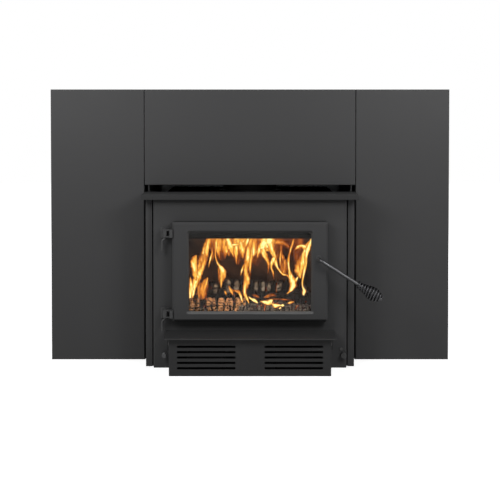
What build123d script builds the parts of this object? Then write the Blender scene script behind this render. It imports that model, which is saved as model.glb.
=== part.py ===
from build123d import *
import math
import os

# Wood-burning fireplace insert: a welded firebox inside a sheet-steel convection casing, a hinged
# glass door with a coil-grip latch handle, a slide air control, a twin-wheel blower under an ash
# lip, and a three-panel surround that covers the fireplace opening.
# X is to the right, Y points into the chimney and Z is up, all in millimetres. The origin is on
# the hearth, midway between the sides, in the plane of the surround's face. A size named "out"
# is a distance in front of that face, and one named "back" a distance behind it.

os.makedirs("parts", exist_ok=True)

# ---- Driving dimensions ----
# Surround
surround_width = 1117.6
surround_height = 760.8
surround_depth = 25.0
surround_sheet = 1.5
surround_bend = 2.0
panel_seam = 1.5
channel_width = 12.3
channel_inset = 2.5
channel_sheet = 2.0
seam_bolt_margins = (67.4, 60.8)
channel_bolt_margins = (80.0, 92.3)

# Convection casing
casing_width = 570.0
casing_sheet = 1.5
casing_back_depth = 400.0
casing_flange = 17.6
casing_lip = 12.0
casing_setback = 17.0
casing_rise = 12.4
base_sheet = 2.0

# Front panel, top ledge and ash lip
front_out = 100.0
front_gap = 4.3
front_sheet = 3.0
front_return = 27.0
front_bend = 4.5
ledge_top = 473.8
ledge_lip = 14.4
ledge_sheet = 3.0
ledge_side_overhang = 8.4
ledge_front_overhang = 17.0
warm_air_slot = 18.8
ash_lip_sheet = 3.0
ash_lip_overhang = 14.0
ash_lip_rear_ear = 16.4
ash_lip_front_ear = 11.8

# Firebox, lining and secondary air
firebox_bottom = 100.0
firebox_plate = 5.0
side_channel = 45.0
rear_channel = 55.0
firebox_head_gap = 2.8
air_wash_gap = 7.0
air_wash_sheet = 3.0
air_wash_hang = 33.8
brick_thickness = 31.75
brick_gap = 0.5
brick_setback = 27.0
brick_head_gap = 2.0
collar_bore = 152.0
collar_wall = 3.0
collar_back = 150.0
collar_rise = 40.0
collar_flange = 16.0
tube_diameter = 22.0
tube_wall = 1.5
tube_drop = 73.0
tube_count = 3
tube_hole = 5.0
tube_hole_count = 14
manifold_depth = 13.0
manifold_rim = 2.0
manifold_sheet = 2.0
manifold_setback = 20.0
baffle_thickness = 13.0
baffle_setback = 37.0
baffle_rear_gap = 45.0

# Door
door_sill = 30.8
door_side_margin = 52.1
door_head_margin = 69.5
door_gap = 3.5
door_thickness = 26.5
door_bevel = 7.0
door_corner_rim = 1.0
door_stile = 46.0
door_bottom_rail = 27.2
door_top_rail = 29.9
window_bevel = 6.0
window_corner = 3.0
window_lip = 11.0
glass_thickness = 5.0
glass_overlap = 6.5
glass_tape = 1.0
glass_screw_inset = 16.7
recess_side_room = 5.5
recess_end_room = 3.5
retainer_sheet = 2.5
gasket_width = 10.0
gasket_edge = 4.0
gasket_groove = 6.0
opening_inset = 15.0

# Hinges
hinge_gap = 18.0
hinge_depth = 14.0
hinge_margins = {"upper": 32.2, "lower": 20.1}
barrel_height = 14.0
barrel_width = 14.8
ear_thickness = 3.5
pin_diameter = 6.5
pin_offset = 8.5
pin_tail = 26.0

# Latch and handle
shaft_inset = 25.4
shaft_drop = 100.3
shaft_diameter = 9.0
handle_rise = 18.0
handle_angle = -32.6
handle_bend = 14.0
grip_start = 121.0
grip_length = 76.0
grip_turns = 9
grip_wire = 5.0
grip_swell = 9.2
grip_skew = 1.6
cam_reach = 22.0
cam_width = 8.0
cam_angle = 85.0
cam_thickness = 6.0
strike_thickness = 4.5

# Blower
blower_side_margin = 49.3
blower_depth = 97.0
blower_height = 99.0
blower_sheet = 1.5
slot_end_margin = 21.85
slot_middle_margin = 38.55
slot_height = 6.0
slot_pitch = 14.2
slot_rows = 5
slot_raise = 0.1
fan_raise = 0.5
fan_shift = 1.5
scroll_side_room = 4.0
scroll_end_room = 5.0
scroll_width = 96.0
scroll_sheet = 1.2
throat_height = 32.0
wheel_room = 5.8
wheel_end_room = 6.0
inlet_rim = 6.0
blade_count = 24
blade_depth = 7.0
motor_inset = 4.0
motor_length = 76.0
rotor_shaft_diameter = 6.0

# Controls
air_knob_gap = 17.2
air_height = 39.0
air_rod_diameter = 8.0
air_knob_radius = 7.5
air_knob_length = 16.0
air_knob_reach = 26.0
damper_width = 60.0
damper_length = 100.0
damper_thickness = 3.0
damper_edge = 5.0
speed_inset = 9.1
speed_height = 36.0
speed_body_shift = 4.0
speed_screw_shift = 6.0
speed_screw_rise = 15.0
speed_knob_radius = 8.0
speed_stem_diameter = 6.0

# Fits
running = 0.05
screw_clearance = 0.1
seat_gap = 0.3
bolt_radius = 3.0
bolt_hole_radius = 3.5
bolt_head = 4.0
bolt_head_radius = 5.8
small_screw_radius = 2.0
screw_head_radius = 2.6
screw_depth = 6.0
panel_screw_radius = 4.0
panel_screw_head = 2.0

# ---- Places worked out from them ----
SIDES = {"left": -1, "right": 1}

casing_side = casing_width / 2
inner_edge = casing_side + channel_width
side_panel_width = surround_width / 2 - inner_edge
top_panel_width = 2 * (inner_edge - panel_seam)
top_panel_bottom = ledge_top + warm_air_slot
slot_wall_top = top_panel_bottom - seat_gap
casing_height = top_panel_bottom + casing_rise
casing_out = front_out - casing_setback
ledge_under = ledge_top - ledge_sheet
ledge_width = casing_width + 2 * ledge_side_overhang
ledge_out = front_out + ledge_front_overhang
front_rear = front_out - front_sheet
front_width = casing_width - 2 * (casing_flange + front_gap)

bolt_back = surround_depth / 2
channel_depth = surround_depth - 2 * channel_inset
seam_bolt_heights = (top_panel_bottom + seam_bolt_margins[0], surround_height - seam_bolt_margins[1])
channel_bolt_low = channel_bolt_margins[0]
channel_bolt_high = slot_wall_top - channel_bolt_margins[1]
channel_bolt_heights = (channel_bolt_low, (channel_bolt_low + channel_bolt_high) / 2, channel_bolt_high)

firebox_width = casing_width - 2 * side_channel
firebox_back = casing_back_depth - rear_channel
firebox_top = ledge_under - firebox_head_gap
firebox_depth = firebox_back + front_rear
firebox_inner_side = firebox_width / 2 - firebox_plate
firebox_floor = firebox_bottom + firebox_plate
brick_face = firebox_inner_side - brick_thickness
brick_back_face = firebox_back - firebox_plate - brick_thickness
brick_front_out = front_rear - brick_setback
collar_top = casing_height + collar_rise
baffle_out = front_rear - baffle_setback
baffle_back = firebox_back - baffle_rear_gap
tube_height = firebox_top - tube_drop
tube_pitch = (baffle_back + baffle_out) / tube_count
tube_rows = [tube_pitch * (number + 0.25) - baffle_out for number in range(tube_count)]
manifold_height = tube_diameter + 2 * (manifold_sheet + manifold_rim)
side_brick_top = tube_height - manifold_height / 2 - brick_head_gap

door_bottom = firebox_bottom + door_sill
door_height = ledge_under - door_head_margin - door_bottom
door_width = front_width - 2 * door_side_margin
door_top = door_bottom + door_height
door_centre = door_bottom + door_height / 2
door_rear_out = front_out + door_gap
door_out = door_rear_out + door_thickness
door_corner = door_bevel + door_corner_rim
window_width = door_width - 2 * door_stile
window_bottom = door_bottom + door_bottom_rail
window_height = door_height - door_bottom_rail - door_top_rail
window_centre = window_bottom + window_height / 2
opening_width = door_width - 2 * opening_inset
opening_height = door_height - 2 * opening_inset - 2.0
air_wash_edge = door_centre + opening_height / 2 - air_wash_hang
hinge_x = -(door_width / 2 + hinge_gap)
hinge_out = door_out - hinge_depth
hinge_heights = {"upper": door_top - hinge_margins["upper"], "lower": door_bottom + hinge_margins["lower"]}
shaft_x = door_width / 2 - shaft_inset
shaft_height = door_top - shaft_drop
handle_out = door_out + handle_rise

blower_width = front_width - 2 * blower_side_margin
blower_out = front_out + blower_depth
slot_length = blower_width / 2 - slot_end_margin - slot_middle_margin
slot_centre_height = blower_height / 2 + slot_raise
fan_x = slot_middle_margin + slot_length / 2
fan_out = front_out + blower_depth / 2 + fan_shift
fan_height = blower_height / 2 + fan_raise
scroll_room_up = blower_height / 2 - blower_sheet - scroll_end_room
scroll_room_along = blower_depth / 2 - blower_sheet - scroll_side_room
scroll_radius = min(scroll_room_up, scroll_room_along)
wheel_radius = scroll_radius - scroll_sheet - wheel_room
wheel_length = scroll_width - 2 * wheel_end_room
fan_inlet_radius = wheel_radius - inlet_rim
motor_radius = wheel_radius - motor_inset
ash_lip_out = blower_out + ash_lip_overhang
ash_lip_top = blower_height + ash_lip_sheet
ash_lip_rear_width = blower_width + 2 * ash_lip_rear_ear
ash_lip_front_width = blower_width + 2 * ash_lip_front_ear

air_x = -(blower_width / 2 + air_knob_gap)
air_knob_out = front_out + air_knob_reach
speed_x = front_width / 2 - speed_inset
speed_body_x = speed_x - speed_body_shift
speed_screw = (speed_x - speed_screw_shift, speed_height + speed_screw_rise)

# ---- Surround: three folded trays ----
for name, side in SIDES.items():
    panel_x = side * (inner_edge + side_panel_width / 2)
    with BuildPart() as surround_side:
        with BuildSketch(Plane.XZ):
            with Locations((panel_x, surround_height / 2)):
                Rectangle(side_panel_width, surround_height)
        extrude(amount=-surround_depth)
        fillet(surround_side.faces().sort_by(Axis.Y)[0].edges(), surround_bend)
        with BuildSketch(Plane.XZ.offset(-surround_sheet)):
            with Locations((panel_x, surround_height / 2)):
                Rectangle(side_panel_width - 2 * surround_sheet, surround_height - 2 * surround_sheet)
        extrude(amount=surround_sheet - surround_depth, mode=Mode.SUBTRACT)
        with BuildSketch(Plane.YZ.offset(side * inner_edge)):
            with Locations(*[(bolt_back, z) for z in channel_bolt_heights + seam_bolt_heights]):
                Circle(bolt_hole_radius)
        extrude(amount=side * surround_sheet, mode=Mode.SUBTRACT)
    surround_side.part.label = f"surround_{name}"
    export_step(surround_side.part, f"parts/surround_{name}.step")

top_panel_height = surround_height - top_panel_bottom
top_panel_centre = top_panel_bottom + top_panel_height / 2
with BuildPart() as surround_top:
    with BuildSketch(Plane.XZ):
        with Locations((0, top_panel_centre)):
            Rectangle(top_panel_width, top_panel_height)
    extrude(amount=-surround_depth)
    fillet(surround_top.faces().sort_by(Axis.Y)[0].edges(), surround_bend)
    with BuildSketch(Plane.XZ.offset(-surround_sheet)):
        with Locations((0, top_panel_centre)):
            Rectangle(top_panel_width - 2 * surround_sheet, top_panel_height - 2 * surround_sheet)
    extrude(amount=surround_sheet - surround_depth, mode=Mode.SUBTRACT)
    with BuildSketch(Plane.YZ.offset(-top_panel_width / 2)):
        with Locations(*[(bolt_back, z) for z in seam_bolt_heights]):
            Circle(bolt_hole_radius)
    extrude(amount=top_panel_width, mode=Mode.SUBTRACT)
surround_top.part.label = "surround_top"
export_step(surround_top.part, "parts/surround_top.step")

# Full-height channels close the gap between the casing's walls and the side panels, and carry
# the panels. Their webs lie at the back, so that the gap shows as a dark groove from the front.
with BuildPart() as surround_channels:
    for side in SIDES.values():
        channel_x = side * (casing_side + channel_width / 2)
        with BuildSketch():
            with Locations((channel_x, bolt_back)):
                Rectangle(channel_width, channel_depth)
            with Locations((channel_x, bolt_back - channel_sheet)):
                Rectangle(channel_width - 2 * channel_sheet, channel_depth, mode=Mode.SUBTRACT)
        extrude(amount=slot_wall_top)
        with BuildSketch(Plane.YZ.offset(side * casing_side)):
            with Locations(*[(bolt_back, z) for z in channel_bolt_heights]):
                Circle(bolt_hole_radius)
        extrude(amount=side * channel_width, mode=Mode.SUBTRACT)
surround_channels.part.label = "surround_channels"
export_step(surround_channels.part, "parts/surround_channels.step")

# A bolt's place: the face its head bears on, the face its nut bears on, and its height.
seam_bolts = [(top_panel_width / 2 - surround_sheet, z) for z in seam_bolt_heights]
channel_bolts = [(casing_side - casing_sheet, z) for z in channel_bolt_heights]
nut_face = inner_edge + surround_sheet
with BuildPart() as surround_bolts:
    for side in SIDES.values():
        for head_face, height in seam_bolts + channel_bolts:
            with BuildSketch(Plane.YZ.offset(side * (head_face - bolt_head))):
                with Locations((bolt_back, height)):
                    RegularPolygon(bolt_head_radius, 6)
            extrude(amount=side * bolt_head)
            with BuildSketch(Plane.YZ.offset(side * head_face)):
                with Locations((bolt_back, height)):
                    Circle(bolt_radius)
            extrude(amount=side * (nut_face - head_face + bolt_head + 1))
            with BuildSketch(Plane.YZ.offset(side * nut_face)):
                with Locations((bolt_back, height)):
                    RegularPolygon(bolt_head_radius, 6)
            extrude(amount=side * bolt_head)
surround_bolts.part.label = "surround_bolts"
export_step(surround_bolts.part, "parts/surround_bolts.step")

# ---- Convection casing ----
wall_step_back = surround_depth + 1.5
wall_front_back = 1.0
for name, side in SIDES.items():
    with BuildPart() as casing_wall:
        with BuildSketch(Plane.YZ.offset(side * casing_side)):
            with BuildLine():
                Polyline(
                    (-casing_out, 0), (casing_back_depth, 0), (casing_back_depth, casing_height),
                    (wall_step_back, casing_height), (wall_step_back, slot_wall_top),
                    (wall_front_back, slot_wall_top), (wall_front_back, ledge_under),
                    (-casing_out, ledge_under), close=True,
                )
            make_face()
            with Locations(*[(bolt_back, z) for z in channel_bolt_heights]):
                Circle(bolt_hole_radius, mode=Mode.SUBTRACT)
        extrude(amount=-side * casing_sheet)
        with BuildSketch(Plane.XZ.offset(casing_out)):
            with Locations((side * (casing_side - casing_flange / 2), ledge_under / 2)):
                Rectangle(casing_flange, ledge_under)
        extrude(amount=-casing_sheet)
    casing_wall.part.label = f"casing_{name}"
    export_step(casing_wall.part, f"parts/casing_{name}.step")

casing_inner_width = casing_width - 2 * casing_sheet
top_lip_rear = casing_back_depth - casing_sheet - seat_gap
with BuildPart() as casing_top:
    with BuildSketch(Plane.XY.offset(casing_height)):
        with Locations((0, (wall_step_back + casing_back_depth) / 2)):
            Rectangle(casing_inner_width, casing_back_depth - wall_step_back)
        with Locations((0, collar_back)):
            Circle(collar_bore / 2 + collar_wall + 3, mode=Mode.SUBTRACT)
    extrude(amount=-casing_sheet)
    with BuildSketch(Plane.XZ.offset(-wall_step_back)):
        with Locations((0, casing_height - casing_lip / 2)):
            Rectangle(casing_inner_width, casing_lip - casing_sheet)
    extrude(amount=-casing_sheet)
    for side in SIDES.values():
        with BuildSketch(Plane.YZ.offset(side * casing_inner_width / 2)):
            with Locations(((wall_step_back + top_lip_rear) / 2, casing_height - casing_lip / 2)):
                Rectangle(top_lip_rear - wall_step_back, casing_lip)
        extrude(amount=-side * casing_sheet)
casing_top.part.label = "casing_top"
export_step(casing_top.part, "parts/casing_top.step")

casing_back_height = casing_height - casing_sheet - seat_gap
back_lip_height = casing_height - casing_lip - 1
with BuildPart() as casing_back:
    with BuildSketch(Plane.XZ.offset(-casing_back_depth)):
        with Locations((0, casing_back_height / 2)):
            Rectangle(casing_inner_width, casing_back_height)
    extrude(amount=casing_sheet)
    for side in SIDES.values():
        with BuildSketch(Plane.YZ.offset(side * casing_inner_width / 2)):
            with Locations((casing_back_depth - casing_lip / 2, back_lip_height / 2)):
                Rectangle(casing_lip, back_lip_height)
        extrude(amount=-side * casing_sheet)
casing_back.part.label = "casing_back"
export_step(casing_back.part, "parts/casing_back.step")

base_front = -(front_rear - front_return) + 0.5
base_rear = casing_back_depth - casing_lip - 0.5
with BuildPart() as casing_base:
    with BuildSketch():
        with Locations((0, (base_front + base_rear) / 2)):
            Rectangle(casing_inner_width, base_rear - base_front)
    extrude(amount=base_sheet)
casing_base.part.label = "casing_base"
export_step(casing_base.part, "parts/casing_base.step")

# ---- Front panel, top ledge and ash lip ----
throat_bottom = fan_height - scroll_radius
with BuildPart() as front_panel:
    with BuildSketch(Plane.XZ.offset(front_rear)):
        with Locations((0, ledge_under / 2)):
            Rectangle(front_width, ledge_under)
    extrude(amount=front_sheet)
    for side in SIDES.values():
        with BuildSketch(Plane.XZ.offset(front_rear)):
            with Locations((side * (front_width - front_sheet) / 2, ledge_under / 2)):
                Rectangle(front_sheet, ledge_under)
        extrude(amount=-front_return)
    front_bends = front_panel.edges().filter_by(Axis.Z).group_by(Axis.Y)[0]
    fillet(front_bends, front_bend)
    with BuildSketch(Plane.XZ.offset(front_rear)):
        with Locations((0, door_centre)):
            RectangleRounded(opening_width, opening_height, door_corner)
        with Locations(*[(side * fan_x, throat_bottom + throat_height / 2) for side in SIDES.values()]):
            Rectangle(scroll_width - 2 * scroll_sheet, throat_height - 2 * scroll_sheet)
        with Locations((air_x, air_height)):
            Circle(air_rod_diameter / 2 + seat_gap)
        with Locations((speed_x, speed_height)):
            Circle(speed_stem_diameter / 2 + seat_gap)
    extrude(amount=front_sheet, mode=Mode.SUBTRACT)
front_panel.part.label = "front_panel"
export_step(front_panel.part, "parts/front_panel.step")

with BuildPart() as top_ledge:
    with BuildSketch(Plane.XY.offset(ledge_top)):
        with Locations((0, -ledge_out / 2)):
            Rectangle(ledge_width, ledge_out)
    extrude(amount=-ledge_lip)
    fillet(top_ledge.faces().sort_by(Axis.Y)[0].edges().filter_by(Axis.X).sort_by(Axis.Z)[-1], 2)
    with BuildSketch(Plane.XY.offset(ledge_under)):
        with Locations((0, (ledge_sheet - ledge_out) / 2 + ledge_sheet)):
            Rectangle(ledge_width - 2 * ledge_sheet, ledge_out + ledge_sheet)
    extrude(amount=-ledge_lip, mode=Mode.SUBTRACT)
top_ledge.part.label = "top_ledge"
export_step(top_ledge.part, "parts/top_ledge.step")

with BuildPart() as ash_lip:
    with BuildSketch(Plane.XY.offset(ash_lip_top)):
        with BuildLine():
            Polyline(
                (-ash_lip_rear_width / 2, -front_out), (-ash_lip_front_width / 2, -ash_lip_out),
                (ash_lip_front_width / 2, -ash_lip_out), (ash_lip_rear_width / 2, -front_out), close=True,
            )
        make_face()
    extrude(amount=-ash_lip_sheet)
    fillet(ash_lip.edges().filter_by(Axis.Z).group_by(Axis.Y)[0], 3)
    chamfer(ash_lip.faces().sort_by(Axis.Y)[0].edges().filter_by(Axis.X).sort_by(Axis.Z)[-1], 0.8)
ash_lip.part.label = "ash_lip"
export_step(ash_lip.part, "parts/ash_lip.step")

# ---- Firebox: welded plate, open at the front ----
air_port_width = 40.0
air_port_length = 50.0
air_port_x = air_x - damper_edge + damper_width / 2
with BuildPart() as firebox_shell:
    with BuildSketch(Plane.XZ.offset(front_rear)):
        with Locations((0, (firebox_bottom + firebox_top) / 2)):
            Rectangle(firebox_width, firebox_top - firebox_bottom)
    extrude(amount=-firebox_depth)
    with BuildSketch(Plane.XZ.offset(front_rear)):
        with Locations((0, (firebox_bottom + firebox_top) / 2)):
            Rectangle(2 * firebox_inner_side, firebox_top - firebox_bottom - 2 * firebox_plate)
    extrude(amount=firebox_plate - firebox_depth, mode=Mode.SUBTRACT)
    with BuildSketch(Plane.XY.offset(firebox_top)):
        with Locations((0, collar_back)):
            Circle(collar_bore / 2)
    extrude(amount=-firebox_plate, mode=Mode.SUBTRACT)
    with BuildSketch(Plane.XY.offset(firebox_bottom)):
        with Locations((air_port_x, air_port_length / 2)):
            Rectangle(air_port_width, air_port_length)
    extrude(amount=firebox_plate, mode=Mode.SUBTRACT)
    # The plate behind the top of the door opening turns fresh air down over the glass.
    with BuildSketch(Plane.XZ.offset(front_rear - air_wash_gap)):
        with Locations((0, (air_wash_edge + firebox_top) / 2)):
            Rectangle(firebox_width, firebox_top - air_wash_edge)
    extrude(amount=-air_wash_sheet)
firebox_shell.part.label = "firebox_shell"
export_step(firebox_shell.part, "parts/firebox_shell.step")

with BuildPart() as flue_collar:
    with BuildSketch(Plane.XY.offset(firebox_top)):
        with Locations((0, collar_back)):
            Circle(collar_bore / 2 + collar_wall)
    extrude(amount=collar_top - firebox_top)
    with BuildSketch(Plane.XY.offset(firebox_top)):
        with Locations((0, collar_back)):
            Circle(collar_bore / 2 + collar_flange)
    extrude(amount=collar_wall + 1)
    with BuildSketch(Plane.XY.offset(firebox_top)):
        with Locations((0, collar_back)):
            Circle(collar_bore / 2)
    extrude(amount=collar_top - firebox_top, mode=Mode.SUBTRACT)
flue_collar.part.label = "flue_collar"
export_step(flue_collar.part, "parts/flue_collar.step")

# Firebrick lining, laid dry with a small joint between bricks.
floor_columns, floor_rows, side_columns, side_rows, back_columns = 4, 2, 3, 2, 4
floor_front = -(front_rear - firebox_plate)
floor_length = brick_back_face - floor_front - brick_gap
floor_width = 2 * brick_face - 2 * brick_gap
with BuildPart() as bricks_floor:
    with BuildSketch(Plane.XY.offset(firebox_floor)):
        with Locations((0, floor_front + floor_length / 2)):
            with GridLocations(floor_width / floor_columns, floor_length / floor_rows,
                               floor_columns, floor_rows):
                Rectangle(floor_width / floor_columns - brick_gap, floor_length / floor_rows - brick_gap)
    extrude(amount=brick_thickness)
bricks_floor.part.label = "bricks_floor"
export_step(bricks_floor.part, "parts/bricks_floor.step")

side_brick_height = side_brick_top - firebox_floor
side_length = brick_back_face + brick_front_out - brick_gap
for name, side in SIDES.items():
    with BuildPart() as bricks_side:
        with BuildSketch(Plane.YZ.offset(side * brick_face)):
            with Locations((side_length / 2 - brick_front_out, firebox_floor + side_brick_height / 2)):
                with GridLocations(side_length / side_columns, side_brick_height / side_rows,
                                   side_columns, side_rows):
                    Rectangle(side_length / side_columns - brick_gap,
                              side_brick_height / side_rows - brick_gap)
        extrude(amount=side * brick_thickness)
    bricks_side.part.label = f"bricks_{name}"
    export_step(bricks_side.part, f"parts/bricks_{name}.step")

with BuildPart() as bricks_back:
    with BuildSketch(Plane.XZ.offset(-brick_back_face)):
        with Locations((0, firebox_floor + side_brick_height / 2)):
            with GridLocations(2 * firebox_inner_side / back_columns, side_brick_height / side_rows,
                               back_columns, side_rows):
                Rectangle(2 * firebox_inner_side / back_columns - brick_gap,
                          side_brick_height / side_rows - brick_gap)
    extrude(amount=-brick_thickness)
bricks_back.part.label = "bricks_back"
export_step(bricks_back.part, "parts/bricks_back.step")

# Secondary air: two side channels carry three drilled tubes, and the baffle boards lie on those.
manifold_face = firebox_inner_side - manifold_depth
manifold_length = baffle_back + front_rear - manifold_setback
tube_half_length = firebox_inner_side - firebox_plate
for name, side in SIDES.items():
    with BuildPart() as air_manifold:
        with BuildSketch(Plane.XZ.offset(front_rear - manifold_setback)):
            with Locations((side * (manifold_face + manifold_depth / 2), tube_height)):
                Rectangle(manifold_depth, manifold_height)
            with Locations((side * (manifold_face + manifold_depth / 2 + manifold_sheet), tube_height)):
                Rectangle(manifold_depth, manifold_height - 2 * manifold_sheet, mode=Mode.SUBTRACT)
        extrude(amount=-manifold_length)
        with BuildSketch(Plane.YZ.offset(side * manifold_face)):
            with Locations(*[(row, tube_height) for row in tube_rows]):
                Circle(tube_diameter / 2 + screw_clearance)
        extrude(amount=side * manifold_sheet, mode=Mode.SUBTRACT)
    air_manifold.part.label = f"air_manifold_{name}"
    export_step(air_manifold.part, f"parts/air_manifold_{name}.step")

for number, row in enumerate(tube_rows, 1):
    with BuildPart() as air_tube:
        with BuildSketch(Plane.YZ.offset(-tube_half_length)):
            with Locations((row, tube_height)):
                Circle(tube_diameter / 2)
                Circle(tube_diameter / 2 - tube_wall, mode=Mode.SUBTRACT)
        extrude(amount=2 * tube_half_length)
        with BuildSketch(Plane.XZ.offset(-row)):
            with Locations((0, tube_height)):
                with GridLocations(2 * manifold_face / (tube_hole_count + 1), 1, tube_hole_count, 1):
                    Circle(tube_hole / 2)
        extrude(amount=tube_diameter, mode=Mode.SUBTRACT)
    air_tube.part.label = f"air_tube_{number}"
    export_step(air_tube.part, f"parts/air_tube_{number}.step")

baffle_bottom = tube_height + tube_diameter / 2 + seat_gap
baffle_width = manifold_face - brick_gap
with BuildPart() as baffle_boards:
    with BuildSketch(Plane.XY.offset(baffle_bottom)):
        with Locations((0, (baffle_back - baffle_out) / 2)):
            with GridLocations(baffle_width, 1, 2, 1):
                Rectangle(baffle_width - brick_gap, baffle_back + baffle_out)
    extrude(amount=baffle_thickness)
baffle_boards.part.label = "baffle_boards"
export_step(baffle_boards.part, "parts/baffle_boards.step")

# ---- Door ----
# The frame is one casting: bevelled outside, bevelled round the window, with a recess behind the
# window lip for the glass and a groove round its back for the rope gasket.
recess_width = window_width + 2 * (glass_overlap + recess_side_room)
recess_height = window_height + 2 * (glass_overlap + recess_end_room)
groove_outer = (door_width - 2 * gasket_edge, door_height - 2 * gasket_edge)
groove_inner = (groove_outer[0] - 2 * gasket_width, groove_outer[1] - 2 * gasket_width)
screw_x = (recess_width / 2 + window_width / 2 + glass_overlap) / 2
screw_rise = window_height / 2 - glass_screw_inset
screw_heights = (window_centre - screw_rise, window_centre, window_centre + screw_rise)
screw_places = [(side * screw_x, z) for side in SIDES.values() for z in screw_heights]
lip_rear_out = door_out - window_lip
tape_rear_out = lip_rear_out - glass_tape
glass_rear_out = tape_rear_out - glass_thickness
retainer_rear_out = glass_rear_out - retainer_sheet
with BuildPart() as door_frame:
    with BuildSketch(Plane.XZ.offset(door_rear_out)):
        with Locations((0, door_centre)):
            RectangleRounded(door_width, door_height, door_corner)
    extrude(amount=door_out - door_rear_out)
    chamfer(door_frame.faces().sort_by(Axis.Y)[0].edges(), door_bevel)
    with BuildSketch(Plane.XZ.offset(door_rear_out)):
        with Locations((0, window_centre)):
            RectangleRounded(window_width, window_height, window_corner)
    extrude(amount=door_out - door_rear_out, mode=Mode.SUBTRACT)
    window_edges = door_frame.faces().sort_by(Axis.Y)[0].inner_wires()[0].edges()
    chamfer(window_edges, window_bevel)
    with BuildSketch(Plane.XZ.offset(door_rear_out)):
        with Locations((0, window_centre)):
            RectangleRounded(recess_width, recess_height, window_corner)
    extrude(amount=lip_rear_out - door_rear_out, mode=Mode.SUBTRACT)
    with BuildSketch(Plane.XZ.offset(door_rear_out)):
        with Locations((0, door_centre)):
            RectangleRounded(groove_outer[0], groove_outer[1], door_corner - 2)
            RectangleRounded(groove_inner[0], groove_inner[1], window_corner, mode=Mode.SUBTRACT)
    extrude(amount=gasket_groove, mode=Mode.SUBTRACT)
    with BuildSketch(Plane.XZ.offset(door_rear_out)):
        with Locations((shaft_x, shaft_height)):
            Circle(shaft_diameter / 2 + running)
    extrude(amount=door_out - door_rear_out, mode=Mode.SUBTRACT)
    with BuildSketch(Plane.XZ.offset(lip_rear_out)):
        with Locations(*screw_places):
            Circle(small_screw_radius + screw_clearance)
    extrude(amount=screw_depth + 1, mode=Mode.SUBTRACT)
door_frame.part.label = "door_frame"
export_step(door_frame.part, "parts/door_frame.step")

glass_width = window_width + 2 * glass_overlap
glass_height = window_height + 2 * glass_overlap
with BuildPart() as glass_gasket:
    with BuildSketch(Plane.XZ.offset(tape_rear_out)):
        with Locations((0, window_centre)):
            Rectangle(glass_width, glass_height)
            Rectangle(window_width + 1, window_height + 1, mode=Mode.SUBTRACT)
    extrude(amount=glass_tape)
glass_gasket.part.label = "glass_gasket"
export_step(glass_gasket.part, "parts/glass_gasket.step")

with BuildPart() as door_glass:
    with BuildSketch(Plane.XZ.offset(glass_rear_out)):
        with Locations((0, window_centre)):
            Rectangle(glass_width, glass_height)
    extrude(amount=glass_thickness)
door_glass.part.label = "door_glass"
export_step(door_glass.part, "parts/door_glass.step")

with BuildPart() as glass_retainer:
    with BuildSketch(Plane.XZ.offset(retainer_rear_out)):
        with Locations((0, window_centre)):
            RectangleRounded(recess_width - 1, recess_height - 1, window_corner)
            Rectangle(window_width + 2, window_height + 2, mode=Mode.SUBTRACT)
        with Locations(*screw_places):
            Circle(small_screw_radius + screw_clearance, mode=Mode.SUBTRACT)
    extrude(amount=retainer_sheet)
glass_retainer.part.label = "glass_retainer"
export_step(glass_retainer.part, "parts/glass_retainer.step")

with BuildPart() as glass_screws:
    with BuildSketch(Plane.XZ.offset(retainer_rear_out)):
        with Locations(*screw_places):
            Circle(small_screw_radius)
    extrude(amount=lip_rear_out - retainer_rear_out + screw_depth)
    with BuildSketch(Plane.XZ.offset(retainer_rear_out)):
        with Locations(*screw_places):
            Circle(screw_head_radius)
    extrude(amount=-small_screw_radius)
glass_screws.part.label = "glass_screws"
export_step(glass_screws.part, "parts/glass_screws.step")

gasket_front_out = front_out + seat_gap
gasket_back_out = door_rear_out + gasket_groove - 0.2
with BuildPart() as door_gasket:
    with BuildSketch(Plane.XZ.offset(gasket_front_out)):
        with Locations((0, door_centre)):
            RectangleRounded(groove_outer[0] - seat_gap, groove_outer[1] - seat_gap, door_corner - 2)
            RectangleRounded(groove_inner[0] + seat_gap, groove_inner[1] + seat_gap, window_corner,
                             mode=Mode.SUBTRACT)
    extrude(amount=gasket_back_out - gasket_front_out)
    fillet(door_gasket.faces().sort_by(Axis.Y)[-1].edges(), 2.5)
door_gasket.part.label = "door_gasket"
export_step(door_gasket.part, "parts/door_gasket.step")

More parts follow.
